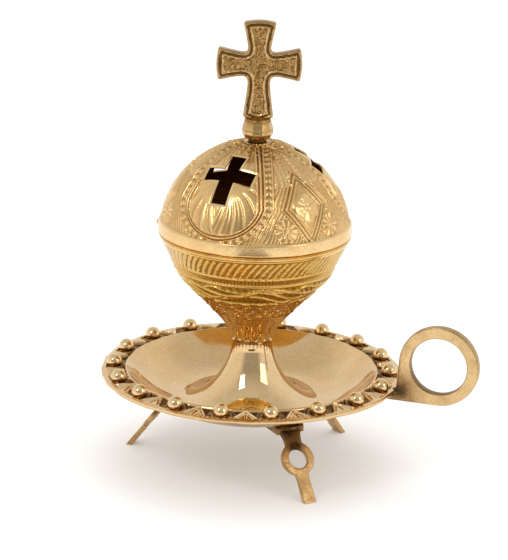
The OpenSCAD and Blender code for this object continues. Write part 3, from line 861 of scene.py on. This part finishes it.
def make_bowl():
    outer = bowl_outer()
    inside = beside(BELLY, np.linspace(1, 0, 26), BOWL_WALL)
    inside = inside[inside[:, 1] > BOWL_FLOOR_Z]
    tail = [[TENON_R, SHOULDER_Z], [TENON_R, SOCKET_Z], [CORE_R, SOCKET_Z], [CORE_R, BOWL_FLOOR_Z],
            [NECK_R + 2.6, BOWL_FLOOR_Z]]
    brim = [BEAD_ROW - [BOWL_WALL, 0], [LIP_R - BOWL_WALL, LIP_UNDER], [LIP_R - BOWL_WALL, SEAM_Z],
            [LIP_R - SEAM_BEVEL, SEAM_Z], [LIP_R - SEAM_BEVEL * 0.3, SEAM_Z - SEAM_BEVEL * 0.3]]
    outline = np.vstack([outer, tail, inside, brim])
    az = np.linspace(0, 360, ROUND_STEPS, endpoint=False)
    height = np.zeros((len(outline), ROUND_STEPS))
    height[1:len(outer) - 1] = bowl_relief(az[None, :], outer[1:-1, 1][:, None])
    vertices = revolved(outline, -profile_normals(outline), az, height)
    mesh = mesh_from("bowl_shell", vertices, grid_faces(len(outline), ROUND_STEPS, True, True))
    clean(mesh)
    mesh = cut(mesh, [pin_cylinder(RECESS_R, LUG_L + 2 * KNUCKLE_GAP)])
    shade_by_angle(mesh, 50)
    paint(mesh, "wear_and_painted_light", bowl_wear(vertex_places(mesh), outer))
    shell = link("bowl_shell", mesh, GOLDEN, "base")
    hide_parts("bowl")
    return shell


def bowl_wear(places, outer):
    """Wear of the bowl: patina in the chasing, a paler neck, a clean lip and a sooty inside."""
    z = places[:, 2]
    wear_and_painted_light = np.clip(worn_from(bowl_relief(azimuths_of(places), z), -0.72, 0.0), 0, 0.86)
    wear_and_painted_light = np.where(z > LIP_UNDER - 0.3, 0.92, wear_and_painted_light + 0.55 * (1 - step(58, 68, z)))
    outer_r = np.interp(z, outer[::-1, 1], outer[::-1, 0])
    face = step(-1.5, -1.1, np.hypot(places[:, 0], places[:, 1]) - outer_r)
    return wear_and_painted_light * face + (1 - face) * 0.2


# ---------------------------------------------------------------- hinge
def rounded(mesh, width=0.12):
    """Breaks the sharp edges of a small piece."""
    with editing(mesh) as work:
        bmesh.ops.recalc_face_normals(work, faces=work.faces)
        edges = [e for e in work.edges if len(e.link_faces) == 2 and e.calc_face_angle(0) > 0.6]
        bmesh.ops.bevel(work, geom=edges, offset=width * MM, segments=2, profile=0.5, affect="EDGES")
    shade_by_angle(mesh, 35)
    return mesh


def hinge_piece(name, body, meshes):
    mesh = join(name, [rounded(m) for m in meshes])
    paint(mesh, "wear_and_painted_light", np.full(len(mesh.vertices), 0.7))
    link(name, mesh, CHASED, body)


def make_hinge():
    """Two knuckles on the bowl and one on the lid, each with a web to its wall."""
    wall_x, globe_x = LIP_R - HINGE_R, GLOBE_R - HINGE_R
    lean_x, lean_y = KNUCKLE_R * math.cos(math.radians(40)), KNUCKLE_R * math.sin(math.radians(40))
    ear_y = LUG_L / 2 + KNUCKLE_GAP + EAR_L / 2
    web = [(0, 0), (wall_x - 1, 0), (wall_x - 1, -3), (wall_x - 1.1, -4.4), (lean_x, -lean_y)]
    ears = []
    for side in (-1, 1):
        ears += [pin_cylinder(KNUCKLE_R, EAR_L, side * ear_y), hinge_prism(web, EAR_L, side * ear_y)]
    hinge_piece("bowl_knuckles", "base", ears)
    web = [(0, 0), (lean_x, lean_y), (globe_x - 0.3, 4), (globe_x - 1.3, 4), (globe_x - 1, 0.1),
           (globe_x, 0.1)]
    hinge_piece("lid_knuckle", "lid", [pin_cylinder(KNUCKLE_R, LUG_L), hinge_prism(web, LUG_L)])


# ---------------------------------------------------------------- saucer
CREASE = np.array([SAUCER_R - FLANGE_W, RIM_Z + RIM_T + FLANGE_RISE])
WELL_START = np.array([PEDESTAL_R, WELL_Z])
DISH = [WELL_START, WELL_START + [9, 0], CREASE - [6.0, 6.6], CREASE]
PEDESTAL_TOP = np.array([PEDESTAL_TOP_R, PEDESTAL_Z])
PEDESTAL = [WELL_START, np.array([PEDESTAL_R * 0.61, WELL_Z + 1.7]),
            PEDESTAL_TOP + [0.2, -PEDESTAL_H * 0.41], PEDESTAL_TOP]
SAUCER_STEPS = 1080
BEAD_RING_R = SAUCER_R - FLANGE_W / 2
BEAD_Z = RIM_Z + RIM_T + FLANGE_RISE / 2 + BEAD_R * 0.28


def flange_relief(az, r):
    """Height of the cast border: bead sockets with curled rims, tulips between them, and a gritty edge."""
    az, r = np.broadcast_arrays(az, r)
    pitch = 360.0 / BEADS
    w = r - BEAD_RING_R
    from_bead = np.hypot(r * np.radians(wrap(az - BEAD_AZ, pitch)), w)
    from_mid = np.abs(r * np.radians(wrap(az - BEAD_AZ - pitch / 2, pitch)))
    zone = between(47.2, 54.0, r, 0.3)
    depth_in = 0.35 + 0.66 * (w + 3.5) - from_mid
    tulip = step(-0.25, 0.25, depth_in)
    petals = 0.12 + ridge(depth_in, 0.4, 0.34, 0.38) + ridge(depth_in, 1.65, 0.3, 0.26)
    petals -= 0.3 * bump(from_mid, 0.32) * (w > -1.8)
    hollow = -0.8 + ridge(from_bead, 3.75, 0.34, 0.4) + ridge(from_bead, 4.85, 0.3, 0.34)
    x, y = r * np.cos(np.radians(az)), r * np.sin(np.radians(az))
    relief = zone * (tulip * petals + (1 - tulip) * hollow + 0.05 * grain(x, y, 0.0, 1.1))
    grit = between(54.3, 55.4, r, 0.3) * step(-0.4, 0.5, np.sin(np.radians(2 * az + 100)))
    return relief + grit * 0.2 * (grain(x, y, 3.0, 0.6) - 0.4)


def saucer_below():
    """Rest of the saucer's section: pedestal, socket, hollow, underside and edge."""
    pedestal = cubic(PEDESTAL, np.linspace(0, 1, 34))[1:]
    socket = [[PEDESTAL_TOP_R - 0.3, PEDESTAL_Z], [SOCKET_R, PEDESTAL_Z], [SOCKET_R, SOCKET_Z],
              [SHANK_HOLE_R, SOCKET_Z], [SHANK_HOLE_R, WEB_Z]]
    hollow = beside(PEDESTAL, np.linspace(1, 0, 24), -SAUCER_WALL)
    hollow = hollow[hollow[:, 1] < WEB_Z]
    underside = beside(DISH, np.linspace(0, 1, 24), SAUCER_WALL)
    underside = underside[underside[:, 1] < RIM_Z]
    edge = [[underside[-1][0], RIM_Z], [SAUCER_R - 0.5, RIM_Z], [SAUCER_R - 0.1, RIM_Z + 0.2],
            [SAUCER_R, RIM_Z + 0.6], [SAUCER_R, RIM_Z + 0.95], [SAUCER_R - 0.1, RIM_Z + 1.3]]
    return np.vstack([pedestal, socket, [[hollow[0][0], WEB_Z]], hollow, underside[1:], edge])


def wavy_rim(vertices, az):
    """Pulls the rim in a little here and there, as on a hand-finished casting."""
    wave = np.abs(0.25 * np.sin(np.radians(az * BEADS)) + 0.2 * np.sin(np.radians(az * 7)))
    r = np.hypot(vertices[:, 0], vertices[:, 1])
    inward = np.tile(wave, len(vertices) // len(az)) * np.clip((r - 50) / 6, 0, 1) ** 2
    vertices[:, :2] *= (1 - inward / r)[:, None]


def saucer_shell():
    flange = along((SAUCER_R - 0.5, RIM_Z + RIM_T), CREASE, 54)
    dish = cubic(DISH, np.linspace(1, 0, 64))[1:]
    outline = np.vstack([flange, dish, saucer_below()])
    az = np.linspace(0, 360, SAUCER_STEPS, endpoint=False)
    height = np.zeros((len(outline), SAUCER_STEPS))
    height[:len(flange)] = flange_relief(az[None, :], flange[:, :1])
    turn, dish_r = np.radians(az)[None, :], dish[:, :1]
    uneven = noise(dish_r * np.cos(turn) / 8, dish_r * np.sin(turn) / 8, 5.0) * between(28, 45, dish_r, 2)
    height[len(flange):len(flange) + len(dish)] = 0.16 * uneven
    vertices = revolved(outline, np.tile([0.0, 1.0], (len(outline), 1)), az, height)
    wavy_rim(vertices, az)
    mesh = mesh_from("saucer_body", vertices, grid_faces(len(outline), SAUCER_STEPS, True, True))
    clean(mesh)
    shade_by_angle(mesh, 42)
    return mesh


def make_saucer():
    beads = []
    for k in range(BEADS):
        a = math.radians(BEAD_AZ + k * 360 / BEADS)
        beads.append(ball((BEAD_RING_R * math.sin(a), -BEAD_RING_R * math.cos(a), BEAD_Z), BEAD_R))
    mesh = join("saucer_body", [saucer_shell(), *beads])
    paint(mesh, "wear_and_painted_light", saucer_wear(mesh))
    body = link("saucer_body", mesh, POLISHED, "base")
    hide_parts("saucer")
    return body


def saucer_wear(mesh):
    """Wear of the saucer: patina in the cast border, bright beads and well, and a duller underside."""
    places = vertex_places(mesh)
    r, z = np.hypot(places[:, 0], places[:, 1]), places[:, 2]
    on_flange = step(CREASE[0] + 0.4, CREASE[0] + 1.0, r) * step(RIM_Z + 0.9, RIM_Z + 1.1, z)
    flange = worn_from(flange_relief(azimuths_of(places), r), -0.82, 0.1)
    lift = z - np.interp(r, [CREASE[0], SAUCER_R], [CREASE[1], RIM_Z + RIM_T])
    flange = np.maximum(flange, step(0.1, 0.9, lift))
    wear_and_painted_light = np.where(on_flange > 0.5, flange, 0.95 - 0.07 * step(23, 27, r))
    below = (z < WELL_Z + 30) & (vertex_values(mesh, "normal")[:, 2] < -0.2)
    return np.where(below, 0.5, wear_and_painted_light)


# ---------------------------------------------------------------- handle and feet
LAID_FLAT = Matrix.Rotation(math.radians(-90), 4, "X")


def circle_points(centre, radius, start, stop, count):
    return [(centre[0] + radius * math.cos(t), centre[1] + radius * math.sin(t))
            for t in np.radians(np.linspace(start, stop, count))]


def paint_by_noise(piece, low, high, size, dark_places=()):
    """Wear that wanders between two values, and darkening that falls near the dark places, given as (point,
    radius).
    """
    places = vertex_places(piece.data)
    wear_and_painted_light = low + (high - low) * (0.5 + 0.5 * grain(*places.T, size))
    for point, radius in dark_places:
        wear_and_painted_light = wear_and_painted_light - 0.8 * bump(np.linalg.norm(places - np.asarray(point), axis=1), radius)
    paint(piece.data, "wear_and_painted_light", wear_and_painted_light)


def remeshed(piece, size, ripple):
    """Evens out a piece's mesh, so that its surface can ripple as hand-filed metal does."""
    mesh = piece.data
    with editing(mesh) as work:
        bmesh.ops.triangulate(work, faces=work.faces)
        for _ in range(6):
            long_edges = [e for e in work.edges if e.calc_length() > size * MM]
            if not long_edges:
                break
            bmesh.ops.subdivide_edges(work, edges=long_edges, cuts=1)
            bmesh.ops.triangulate(work, faces=work.faces)
    places = vertex_places(mesh)
    push = ripple * grain(*places.T, 2.6) - ripple
    move_vertices(mesh, places + vertex_values(mesh, "normal") * push[:, None])
    shade_by_angle(mesh, 40)


def make_handle():
    matrix = upright_matrix(HANDLE_AZ)
    centre = (SAUCER_R + RING_GAP + RING_R, RIM_Z - TANG_H + RING_R)
    ring = circle_points(centre, RING_R, -90, 180, 72)
    root, inner = SAUCER_R + RING_GAP / 4, SAUCER_R - TANG_REACH
    tang = [(root, RIM_Z + RIM_T), (root, RIM_Z), (inner, RIM_Z), (inner, RIM_Z - TANG_H * 0.6),
            (inner + 2, RIM_Z - TANG_H)]
    outlines = [ring + tang, circle_points(centre, RING_BORE_R, 0, 356, 90)]
    piece = plate("ring_handle", outlines, HANDLE_T, 0.5, matrix, SATIN, "base")
    remeshed(piece, 1.6, 0.05)
    paint_by_noise(piece, 0.6, 0.95, 5, [(matrix @ Vector((SAUCER_R + 1.5, RIM_Z + 1.5, 0)), 6.5)])
    darken_edges(piece, matrix, centre)
    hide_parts("handle")
    lump = braze_lump("handle_braze", HANDLE_AZ, SAUCER_R - 0.3, RIM_Z + 0.3, (2.3, 2.6, 1.5))
    paint_by_noise(lump, 0.0, 0.3, 1.0)


def darken_edges(piece, matrix, centre):
    """Darker brass on the bore's wall and along the ring's outer edge."""
    places = vertex_places(piece.data)
    local = np.array([tuple(matrix.inverted() @ Vector(p)) for p in places])
    from_centre = np.hypot(local[:, 0] - centre[0], local[:, 1] - centre[1])
    layer = piece.data.attributes["wear_and_painted_light"].data
    wear_and_painted_light = np.zeros(len(places))
    layer.foreach_get("value", wear_and_painted_light)
    side = np.abs(local[:, 2]) < HANDLE_T / 2 - 0.15
    wear_and_painted_light = np.where(side & (from_centre < RING_BORE_R + 1.2), wear_and_painted_light * 0.25, wear_and_painted_light)
    wear_and_painted_light = np.where(side & (from_centre > RING_R - 1.2), wear_and_painted_light * 0.6, wear_and_painted_light)
    layer.foreach_set("value", wear_and_painted_light.astype(np.float32))


def braze_lump(name, azimuth, r, z, size):
    """A rough lump of filler metal, with its sizes outward, sideways and up."""
    matrix = upright_matrix(azimuth)
    mesh = bpy.data.meshes.new(name)
    with editing(mesh) as work:
        bmesh.ops.create_icosphere(work, subdivisions=4, radius=1.0)
        for v in work.verts:
            p = v.co
            swell = 1 + 0.16 * float(grain(p.x * 3, p.y * 3, p.z * 3 + azimuth, 1.3))
            local = Vector((p.x * size[0], p.z * size[2], p.y * size[1])) * swell
            v.co = (matrix @ (local + Vector((r, z, 0))) + Vector((AXIS_X, 0, 0))) * MM
        for f in work.faces:
            f.smooth = True
    return link(name, mesh, FOOT, "base")


def leg_edge():
    """One side of a leg, as (down the leg, across): flared root, eye, waist and tip."""
    leg_l = (WELL_Z - SAUCER_WALL) / math.sin(math.radians(LEG_SLOPE))
    pulls = [(-FOOT_T, PAD_W / 2), (1.2, PAD_W / 2), (1.8, LEG_W / 2), (5.0, LEG_W / 2)]
    flare = [tuple(p) for p in cubic(pulls, np.linspace(0, 1, 14))]
    start = 180 - math.degrees(math.asin(LEG_W / 2 / EYE_R))
    stop = math.degrees(math.asin(LEG_W * 0.4 / EYE_R))
    eye = circle_points((EYE_ALONG, 0), EYE_R, start, stop, 26)
    return flare + eye + [(EYE_ALONG + EYE_R + 2.0, LEG_W * 0.36), (leg_l, TIP_W / 2)]


def make_leg(name, frame_up, pad_top):
    """Sloping strap with its eye, and the matrix that places it."""
    matrix = frame_up @ Matrix.Translation((FOOT_BEND_R, pad_top, 0))
    matrix = matrix @ Matrix.Rotation(-math.radians(LEG_SLOPE), 4, "Z") @ LAID_FLAT
    matrix = matrix @ Matrix.Translation((0, 0, -FOOT_T / 2))
    edge = leg_edge()
    outline = edge + [(x, -y) for x, y in reversed(edge)]
    hole = circle_points((EYE_ALONG, 0), EYE_HOLE_R, 0, 352, 45)
    leg = plate(name + "_leg", [outline, hole], FOOT_T, 0.4, matrix, FOOT, "base")
    remeshed(leg, 1.0, 0.08)
    places = vertex_places(leg.data)
    places[:, 2] = np.maximum(places[:, 2], 0)
    move_vertices(leg.data, places)
    return leg, matrix


def make_foot(name, azimuth):
    """A leg, its pad under the well and the filler metal at the bend."""
    pad_top = WELL_Z - SAUCER_WALL
    frame_up = upright_matrix(azimuth)
    leg, leg_matrix = make_leg(name, frame_up, pad_top)
    pad_matrix = frame_up @ LAID_FLAT @ Matrix.Translation((0, 0, pad_top - FOOT_T / 2))
    pad_end = FOOT_BEND_R + 0.6
    pad = [(PAD_INNER_R, -PAD_W / 2), (pad_end, -PAD_W / 2), (pad_end, PAD_W / 2), (PAD_INNER_R, PAD_W / 2)]
    root = plate(name + "_pad", [pad], FOOT_T + 0.8, 0.4, pad_matrix, FOOT, "base")
    remeshed(root, 1.4, 0.05)
    # Painted shade: the leg is darkened at its root under the saucer and at the near edge of its eye.
    dark_places = [(leg_matrix @ Vector((0, 0, 0)), 6.5), (leg_matrix @ Vector((EYE_ALONG - 3.5, 0, 0)), 2.6)]
    paint_by_noise(leg, 0.45, 0.95, 4, dark_places)
    paint_by_noise(root, 0.1, 0.5, 3)
    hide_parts(name)
    lump = braze_lump(name + "_braze", azimuth, FOOT_BEND_R - 0.5, pad_top + 0.1, (3.2, 5.4, 1.1))
    paint_by_noise(lump, 0.0, 0.35, 1.0)


# ---------------------------------------------------------------- cross finial
def corner_curve(reach_a, half_a, reach_b, half_b, t):
    """Round corner between two arms, as (across, along) arm a."""
    end_a, end_b = reach_a - ARM_BULGE - ARM_CORNER_R, reach_b - ARM_BULGE - ARM_CORNER_R
    return cubic([(half_a, end_a), (ARM_ROOT * 1.2, ARM_ROOT * 0.8), (ARM_ROOT * 0.8, ARM_ROOT * 1.2),
                  (end_b, half_b)], t)


def arm_rail(reach, half_w, other_reach, other_half_w, count):
    """An arm's side from the crossing to its end, as (across, along), with its round outer corner."""
    side = corner_curve(reach, half_w, other_reach, other_half_w, np.linspace(0.5, 0, count))
    turn = np.radians(np.linspace(0, 90, 6))[1:]
    across = half_w - ARM_CORNER_R + ARM_CORNER_R * np.cos(turn)
    out = reach - ARM_BULGE - ARM_CORNER_R + ARM_CORNER_R * np.sin(turn)
    return np.vstack([side, np.c_[across, out]])


def arm_end(reach, half_w, count):
    """Bulging end of an arm, from its middle to its corner."""
    across = np.linspace(0, 1, count)[:-1]
    return np.c_[across * (half_w - ARM_CORNER_R), reach - ARM_BULGE * across ** 2]


def cross_rails(count):
    """Right half of the cross: rails of the top, right and bottom arms."""
    down, swap = np.array([1, -1]), [1, 0]
    top = arm_rail(ARM_UP, ARM_END, ARM_SIDE, ARM_END, count)
    right_up = arm_rail(ARM_SIDE, ARM_END, ARM_UP, ARM_END, count)[:, swap]
    right_down = arm_rail(ARM_SIDE, ARM_END, ARM_DOWN, ARM_FOOT, count)[:, swap] * down
    bottom = arm_rail(ARM_DOWN, ARM_FOOT, ARM_SIDE, ARM_END, count) * down
    return top, right_up, right_down, bottom


def cross_patches(along_count, across_count):
    """Grids of points that cover the cross: four arms and the middle."""
    top, right_up, right_down, bottom = cross_rails(along_count)
    mirror = np.array([-1, 1])
    t = np.linspace(0, 1, across_count)[None, :, None]
    bow = (4 * t * (1 - t)) * np.linspace(0, 1, len(top))[:, None, None] ** 3 * ARM_BULGE

    def arm(first, second, outward):
        return first[:, None, :] * (1 - t) + second[:, None, :] * t + bow * np.asarray(outward, float)

    right = arm(right_down, right_up, (1, 0))
    patches = [
        arm(top * mirror, top, (0, 1)),
        right,
        arm(bottom, bottom * mirror, (0, -1)),
        right[:, ::-1] * mirror,
    ]
    low, high = patches[2][0][::-1], patches[0][0]
    s = np.linspace(0, 1, across_count)[:, None, None]
    left, right_edge = patches[3][0], patches[1][0]
    corners = (1 - s) * ((1 - t) * low[0] + t * low[-1]) + s * ((1 - t) * high[0] + t * high[-1])
    middle = (1 - s) * low[None] + s * high[None] - corners
    middle = middle + (1 - t) * left[::-1][:, None] + t * right_edge[:, None]
    return patches, middle


def cross_outline_points():
    top, right_up, right_down, bottom = cross_rails(30)
    down, swap = np.array([1, -1]), [1, 0]
    side_end = arm_end(ARM_SIDE, ARM_END, 10)[:, swap]
    right = np.vstack([
        arm_end(ARM_UP, ARM_END, 10), top[::-1], right_up, side_end[::-1],
        (side_end * down)[1:], right_down[::-1], bottom, (arm_end(ARM_DOWN, ARM_FOOT, 10) * down)[::-1],
    ])
    return np.vstack([right, right[::-1][1:-1] * [-1, 1]])


def distance_inside(points, outline, above=-99.0):
    """Distance from each point to the part of the outline that is higher than a level."""
    best = np.full(len(points), 99.0)
    for p, q in zip(outline, np.roll(outline, -1, 0)):
        if max(p[1], q[1]) < above:
            continue
        d = q - p
        length = max(float(d @ d), 1e-9)
        t = np.clip(((points - p) @ d) / length, 0, 1)
        best = np.minimum(best, np.linalg.norm(points - p - t[:, None] * d, axis=1))
    return best


def border_inset(points, outline):
    """Inset that the border line follows: that of the sides, and a shallow V above the foot."""
    sides = distance_inside(points, outline, 1.0 - ARM_DOWN)
    foot = points[:, 1] + ARM_DOWN + 0.95 - 0.38 * np.abs(points[:, 0])
    return np.minimum(sides, foot)


def cross_height(points, outline):
    """Half thickness of the cross: round edge, channel, raised border line and pebbled field."""
    inset = distance_inside(points, outline)
    border = border_inset(points, outline)
    edge = 0.5 * np.sqrt(np.clip(1 - (1 - np.clip(inset / 0.5, 0, 1)) ** 2, 0, 1)) - 0.5
    channel = -0.5 * between(0.95, 1.65, border, 0.18)
    line = 0.12 * bump(border - 2.05, 0.34)
    field = step(2.3, 2.6, border)
    pebbles = 1 - 2.6 * np.abs(grain(points[:, 0], points[:, 1], 0.0, 0.95))
    return CROSS_T / 2 + edge + channel + line + field * (-0.34 + 0.26 * pebbles)


def make_cross():
    patches, middle = cross_patches(72, 61)
    outline = cross_outline_points()
    vertices, faces = [], []
    for face_side in (-1, 1):
        for patch in (*patches, middle):
            rows, columns = patch.shape[:2]
            flat = patch.reshape(-1, 2)
            half = cross_height(flat, outline)
            first = sum(len(v) for v in vertices)
            vertices.append(np.c_[flat[:, 0], face_side * half, flat[:, 1] + CROSS_Z])
            faces.append(grid_faces(rows, columns, False, False, first))
    first = sum(len(v) for v in vertices)
    wall_half = CROSS_T / 2 - 0.5
    levels = np.linspace(-1, 1, 5)
    for level in levels:
        depth = np.full(len(outline), level * wall_half)
        vertices.append(np.c_[outline[:, 0], depth, outline[:, 1] + CROSS_Z])
    faces.append(grid_faces(len(levels), len(outline), False, True, first))
    mesh = mesh_from("cross", np.vstack(vertices), np.vstack(faces))
    clean(mesh, 0.03)
    shade_by_angle(mesh, 40)
    places = vertex_places(mesh)
    height = cross_height(np.c_[places[:, 0], places[:, 2] - CROSS_Z], outline) - CROSS_T / 2
    wear_and_painted_light = worn_from(height, -0.66, 0.1)
    side = np.abs(places[:, 1]) < wall_half
    paint(mesh, "wear_and_painted_light", np.where(side, 0.62, wear_and_painted_light))
    piece = link("cross", mesh, CAST, "lid")
    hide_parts("cross_finial")


def make_collar():
    """Round collar with a flat belt and soft facets."""
    low, high = LID_TOP_Z, LID_TOP_Z + COLLAR_H
    profile = np.array([
        [SEAT_R - 0.5, low], [SEAT_R, low + 0.2], [SEAT_R - 0.1, low + 0.7], [SEAT_R + 0.5, low + 1.0],
        [SEAT_R + 1.3, low + 1.4], [5.3, low + 2.2], [5.68, low + 2.9], [5.75, low + 3.1], [5.75, low + 4.3],
        [5.66, low + 4.5], [5.6, low + 5.2], [5.35, low + 6.2], [5.0, low + 7.2], [4.85, low + 7.9],
        [4.6, high + 0.1], [2.6, high + 1.0], [0.4, high + 1.2], [0.4, low],
    ])
    dense = [along(a, b, 5, False) for a, b in zip(profile, np.roll(profile, -1, 0))]
    profile = np.vstack(dense)
    columns = 120
    az = np.linspace(0, 360, columns, endpoint=False)
    facets = 10
    away = np.radians(wrap(az, 360 / facets))
    flat = (math.cos(math.pi / facets) / np.cos(away) - 1)[None, :]
    strength = between(low + 1.8, low + 7.0, profile[:, 1], 0.4)[:, None] * (profile[:, 0] > 3)[:, None]
    normals = np.tile([1.0, 0.0], (len(profile), 1))
    height = flat * strength * profile[:, :1] * 0.8
    turn = np.radians(az)[None, :]
    rough = grain(30 * np.cos(turn), 30 * np.sin(turn), profile[:, 1:] * 4, 4.0) * 0.07 * (profile[:, :1] > 3)
    vertices = revolved(profile, normals, az, height + rough - 0.04)
    mesh = mesh_from("finial_collar", vertices, grid_faces(len(profile), columns, True, True))
    clean(mesh)
    shade_by_angle(mesh, 30)
    places = vertex_places(mesh)
    z = places[:, 2] - low
    wear_and_painted_light = 0.85 - 0.75 * (1 - step(0.6, 1.5, z)) - 0.35 * step(6.6, 7.8, z) - 0.25 * bump(z - 4.4, 0.3)
    wear_and_painted_light = wear_and_painted_light + 0.15 * grain(*places.T, 1.5)
    paint(mesh, "wear_and_painted_light", wear_and_painted_light)
    link("finial_collar", mesh, CAST, "lid")


def make_threaded(name, r, low, high, body, pitch=0.7):
    """A threaded shank along the axis."""
    turns = (high - low) / pitch
    columns = 36
    rows = int(turns * 8)
    z = np.linspace(low, high, rows)
    az = np.linspace(0, 360, columns, endpoint=False)
    phase = (z[:, None] - low) / pitch - az[None, :] / 360
    depth = 0.34 * np.abs(wrap(phase, 1.0)) * 2
    profile = np.vstack([[[0.05, low]], np.c_[np.full(rows, r), z], [[0.05, high]]])
    height = np.vstack([np.zeros((1, columns)), -depth, np.zeros((1, columns))])
    normals = np.tile([1.0, 0.0], (len(profile), 1))
    faces = grid_faces(len(profile), columns, False, True)
    mesh = mesh_from(name, revolved(profile, normals, az, height), faces)
    clean(mesh)
    shade_by_angle(mesh, 30)
    return link(name, mesh, FASTENER, body)


# ---------------------------------------------------------------- assembly
make_saucer()
make_handle()
for foot_name, foot_az in FOOT_AZ.items():
    make_foot(foot_name, foot_az)
make_bowl()
make_lid()
make_hinge()
make_cross()
make_collar()
make_threaded("finial_stud", 2.0, BOSS_Z - 5.0, LID_TOP_Z, "lid")
for cad_name in ("stem_screw", "stem_washer", "finial_washer", "finial_nut", "hinge_pin"):
    cad_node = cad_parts[cad_name]
    cad_node.data.materials.clear()
    cad_node.data.materials.append(FASTENER)


# ---------------------------------------------------------------- camera, floor and lights
def make_camera():
    """The photograph's view: long lens, looking down at the globe."""
    distance, height, pitch, roll = 950.0, 368.73, 0.304, 0.026
    focal_px, frame_h, sensor = 2696.86, 560, 36.0
    data = bpy.data.cameras.new("camera")
    data.lens = focal_px * sensor / frame_h
    data.sensor_width = sensor
    data.clip_start, data.clip_end = 0.05, 20
    camera = bpy.data.objects.new("camera", data)
    bpy.context.scene.collection.objects.link(camera)
    forward = Vector((0, math.cos(pitch), -math.sin(pitch)))
    right = Vector((1, 0, 0))
    up = right.cross(forward)
    right_rolled = math.cos(roll) * right + math.sin(roll) * up
    up_rolled = -math.sin(roll) * right + math.cos(roll) * up
    matrix = Matrix((right_rolled, up_rolled, -forward)).transposed().to_4x4()
    matrix.translation = Vector((AXIS_X + 0.11, -distance, height)) * MM
    camera.matrix_world = matrix
    bpy.context.scene.camera = camera


def area_light(name, place, target, size, power, colour=(1, 1, 1)):
    data = bpy.data.lights.new(name, "AREA")
    data.shape = "RECTANGLE"
    data.size, data.size_y = size
    data.energy = power
    data.color = colour
    light = bpy.data.objects.new(name, data)
    bpy.context.scene.collection.objects.link(light)
    light.location = place
    light.rotation_euler = (Vector(target) - Vector(place)).to_track_quat("-Z", "Y").to_euler()
    return light


def make_floor():
    mesh = bpy.data.meshes.new("floor")
    half = 6.0
    corners = [(-half, -half, 0), (half, -half, 0), (half, half, 0), (-half, half, 0)]
    mesh.from_pydata(corners, [], [(0, 1, 2, 3)])
    floor = bpy.data.objects.new("floor", mesh)
    bpy.context.scene.collection.objects.link(floor)
    material = bpy.data.materials.new("pale_glowing_floor")
    material.use_nodes = True
    shader = material.node_tree.nodes["Principled BSDF"]
    shader.inputs["Base Color"].default_value = (0.76, 0.76, 0.76, 1)
    # The floor glows a little of its own, which lightens the shadows on it; its colour is darker to make up
    # for the glow.
    shader.inputs["Emission Color"].default_value = (1.0, 0.97, 0.93, 1)
    shader.inputs["Emission Strength"].default_value = 0.2
    shader.inputs["Roughness"].default_value = 0.75
    shader.inputs["Specular IOR Level"].default_value = 0.15
    mesh.materials.append(material)


def direction_mix(tree, axis, low, high, absolute, below, above):
    """Mixes two radiances over the part of the room where a direction's axis passes from low to high."""
    place = node(tree, "TexCoord").outputs["Generated"]
    split = node(tree, "SeparateXYZ")
    tree.links.new(place, split.inputs["Vector"])
    value = split.outputs[axis]
    if absolute:
        value = maths(tree, "ABSOLUTE", value, 0)
    share = node(tree, "MapRange", interpolation_type="SMOOTHSTEP", in_From_Min=low, in_From_Max=high)
    tree.links.new(value, share.inputs["Value"])
    mixed = node(tree, "Mix", data_type="FLOAT")
    tree.links.new(share.outputs["Result"], mixed.inputs[0])
    for socket, radiance in ((mixed.inputs[2], below), (mixed.inputs[3], above)):
        if isinstance(radiance, (int, float)):
            socket.default_value = radiance
        else:
            tree.links.new(radiance, socket)
    return mixed.outputs[0]


def make_world():
    """A white backdrop. The brass reflects it as a room that is dimmer in front and overhead."""
    world = bpy.data.worlds.new("studio")
    world.use_nodes = True
    tree = world.node_tree
    background = tree.nodes["Background"]
    room = direction_mix(tree, "Y", -0.5, 0.2, False, 0.46, 0.94)
    room = direction_mix(tree, "X", 0.45, 0.85, True, room, 0.98)
    room = direction_mix(tree, "Z", 0.45, 0.9, False, room, 0.72)
    glossy = node(tree, "LightPath").outputs["Is Glossy Ray"]
    strength = node(tree, "Mix", data_type="FLOAT")
    tree.links.new(glossy, strength.inputs[0])
    strength.inputs[2].default_value = 1.12
    tree.links.new(room, strength.inputs[3])
    background.inputs["Color"].default_value = (1.0, 0.995, 0.985, 1)
    tree.links.new(strength.outputs[0], background.inputs["Strength"])
    bpy.context.scene.world = world


def make_card(name, low, high, z, shade):
    """A dark card on the floor, outside the picture, that the brass reflects."""
    corners = [(low[0], low[1], z), (high[0], low[1], z), (high[0], high[1], z), (low[0], high[1], z)]
    mesh = bpy.data.meshes.new(name)
    mesh.from_pydata(corners, [], [(0, 1, 2, 3)])
    card = bpy.data.objects.new(name, mesh)
    bpy.context.scene.collection.objects.link(card)
    material = bpy.data.materials.new(name)
    material.use_nodes = True
    material.node_tree.nodes["Principled BSDF"].inputs["Base Color"].default_value = (*shade, 1)
    material.node_tree.nodes["Principled BSDF"].inputs["Roughness"].default_value = 0.9
    mesh.materials.append(material)
    card.visible_camera = False
    card.visible_diffuse = False
    card.visible_shadow = False


def make_light():
    make_world()
    middle = (0, 0, 0.08)
    area_light("key", (-0.55, -0.7, 0.85), middle, (0.3, 0.4), 1.9)
    area_light("fill", (0.75, -0.55, 0.55), middle, (0.4, 0.5), 1.1)
    top = area_light("top", (0.05, 0.3, 1.0), middle, (0.7, 0.5), 1.4)
    top.visible_glossy = False
    make_card("front_card", (-0.19, -0.85), (0.13, -0.36), 0.002, (0.02, 0.015, 0.01))
    bpy.context.scene.view_settings.view_transform = "Standard"


make_camera()
make_floor()
make_light()
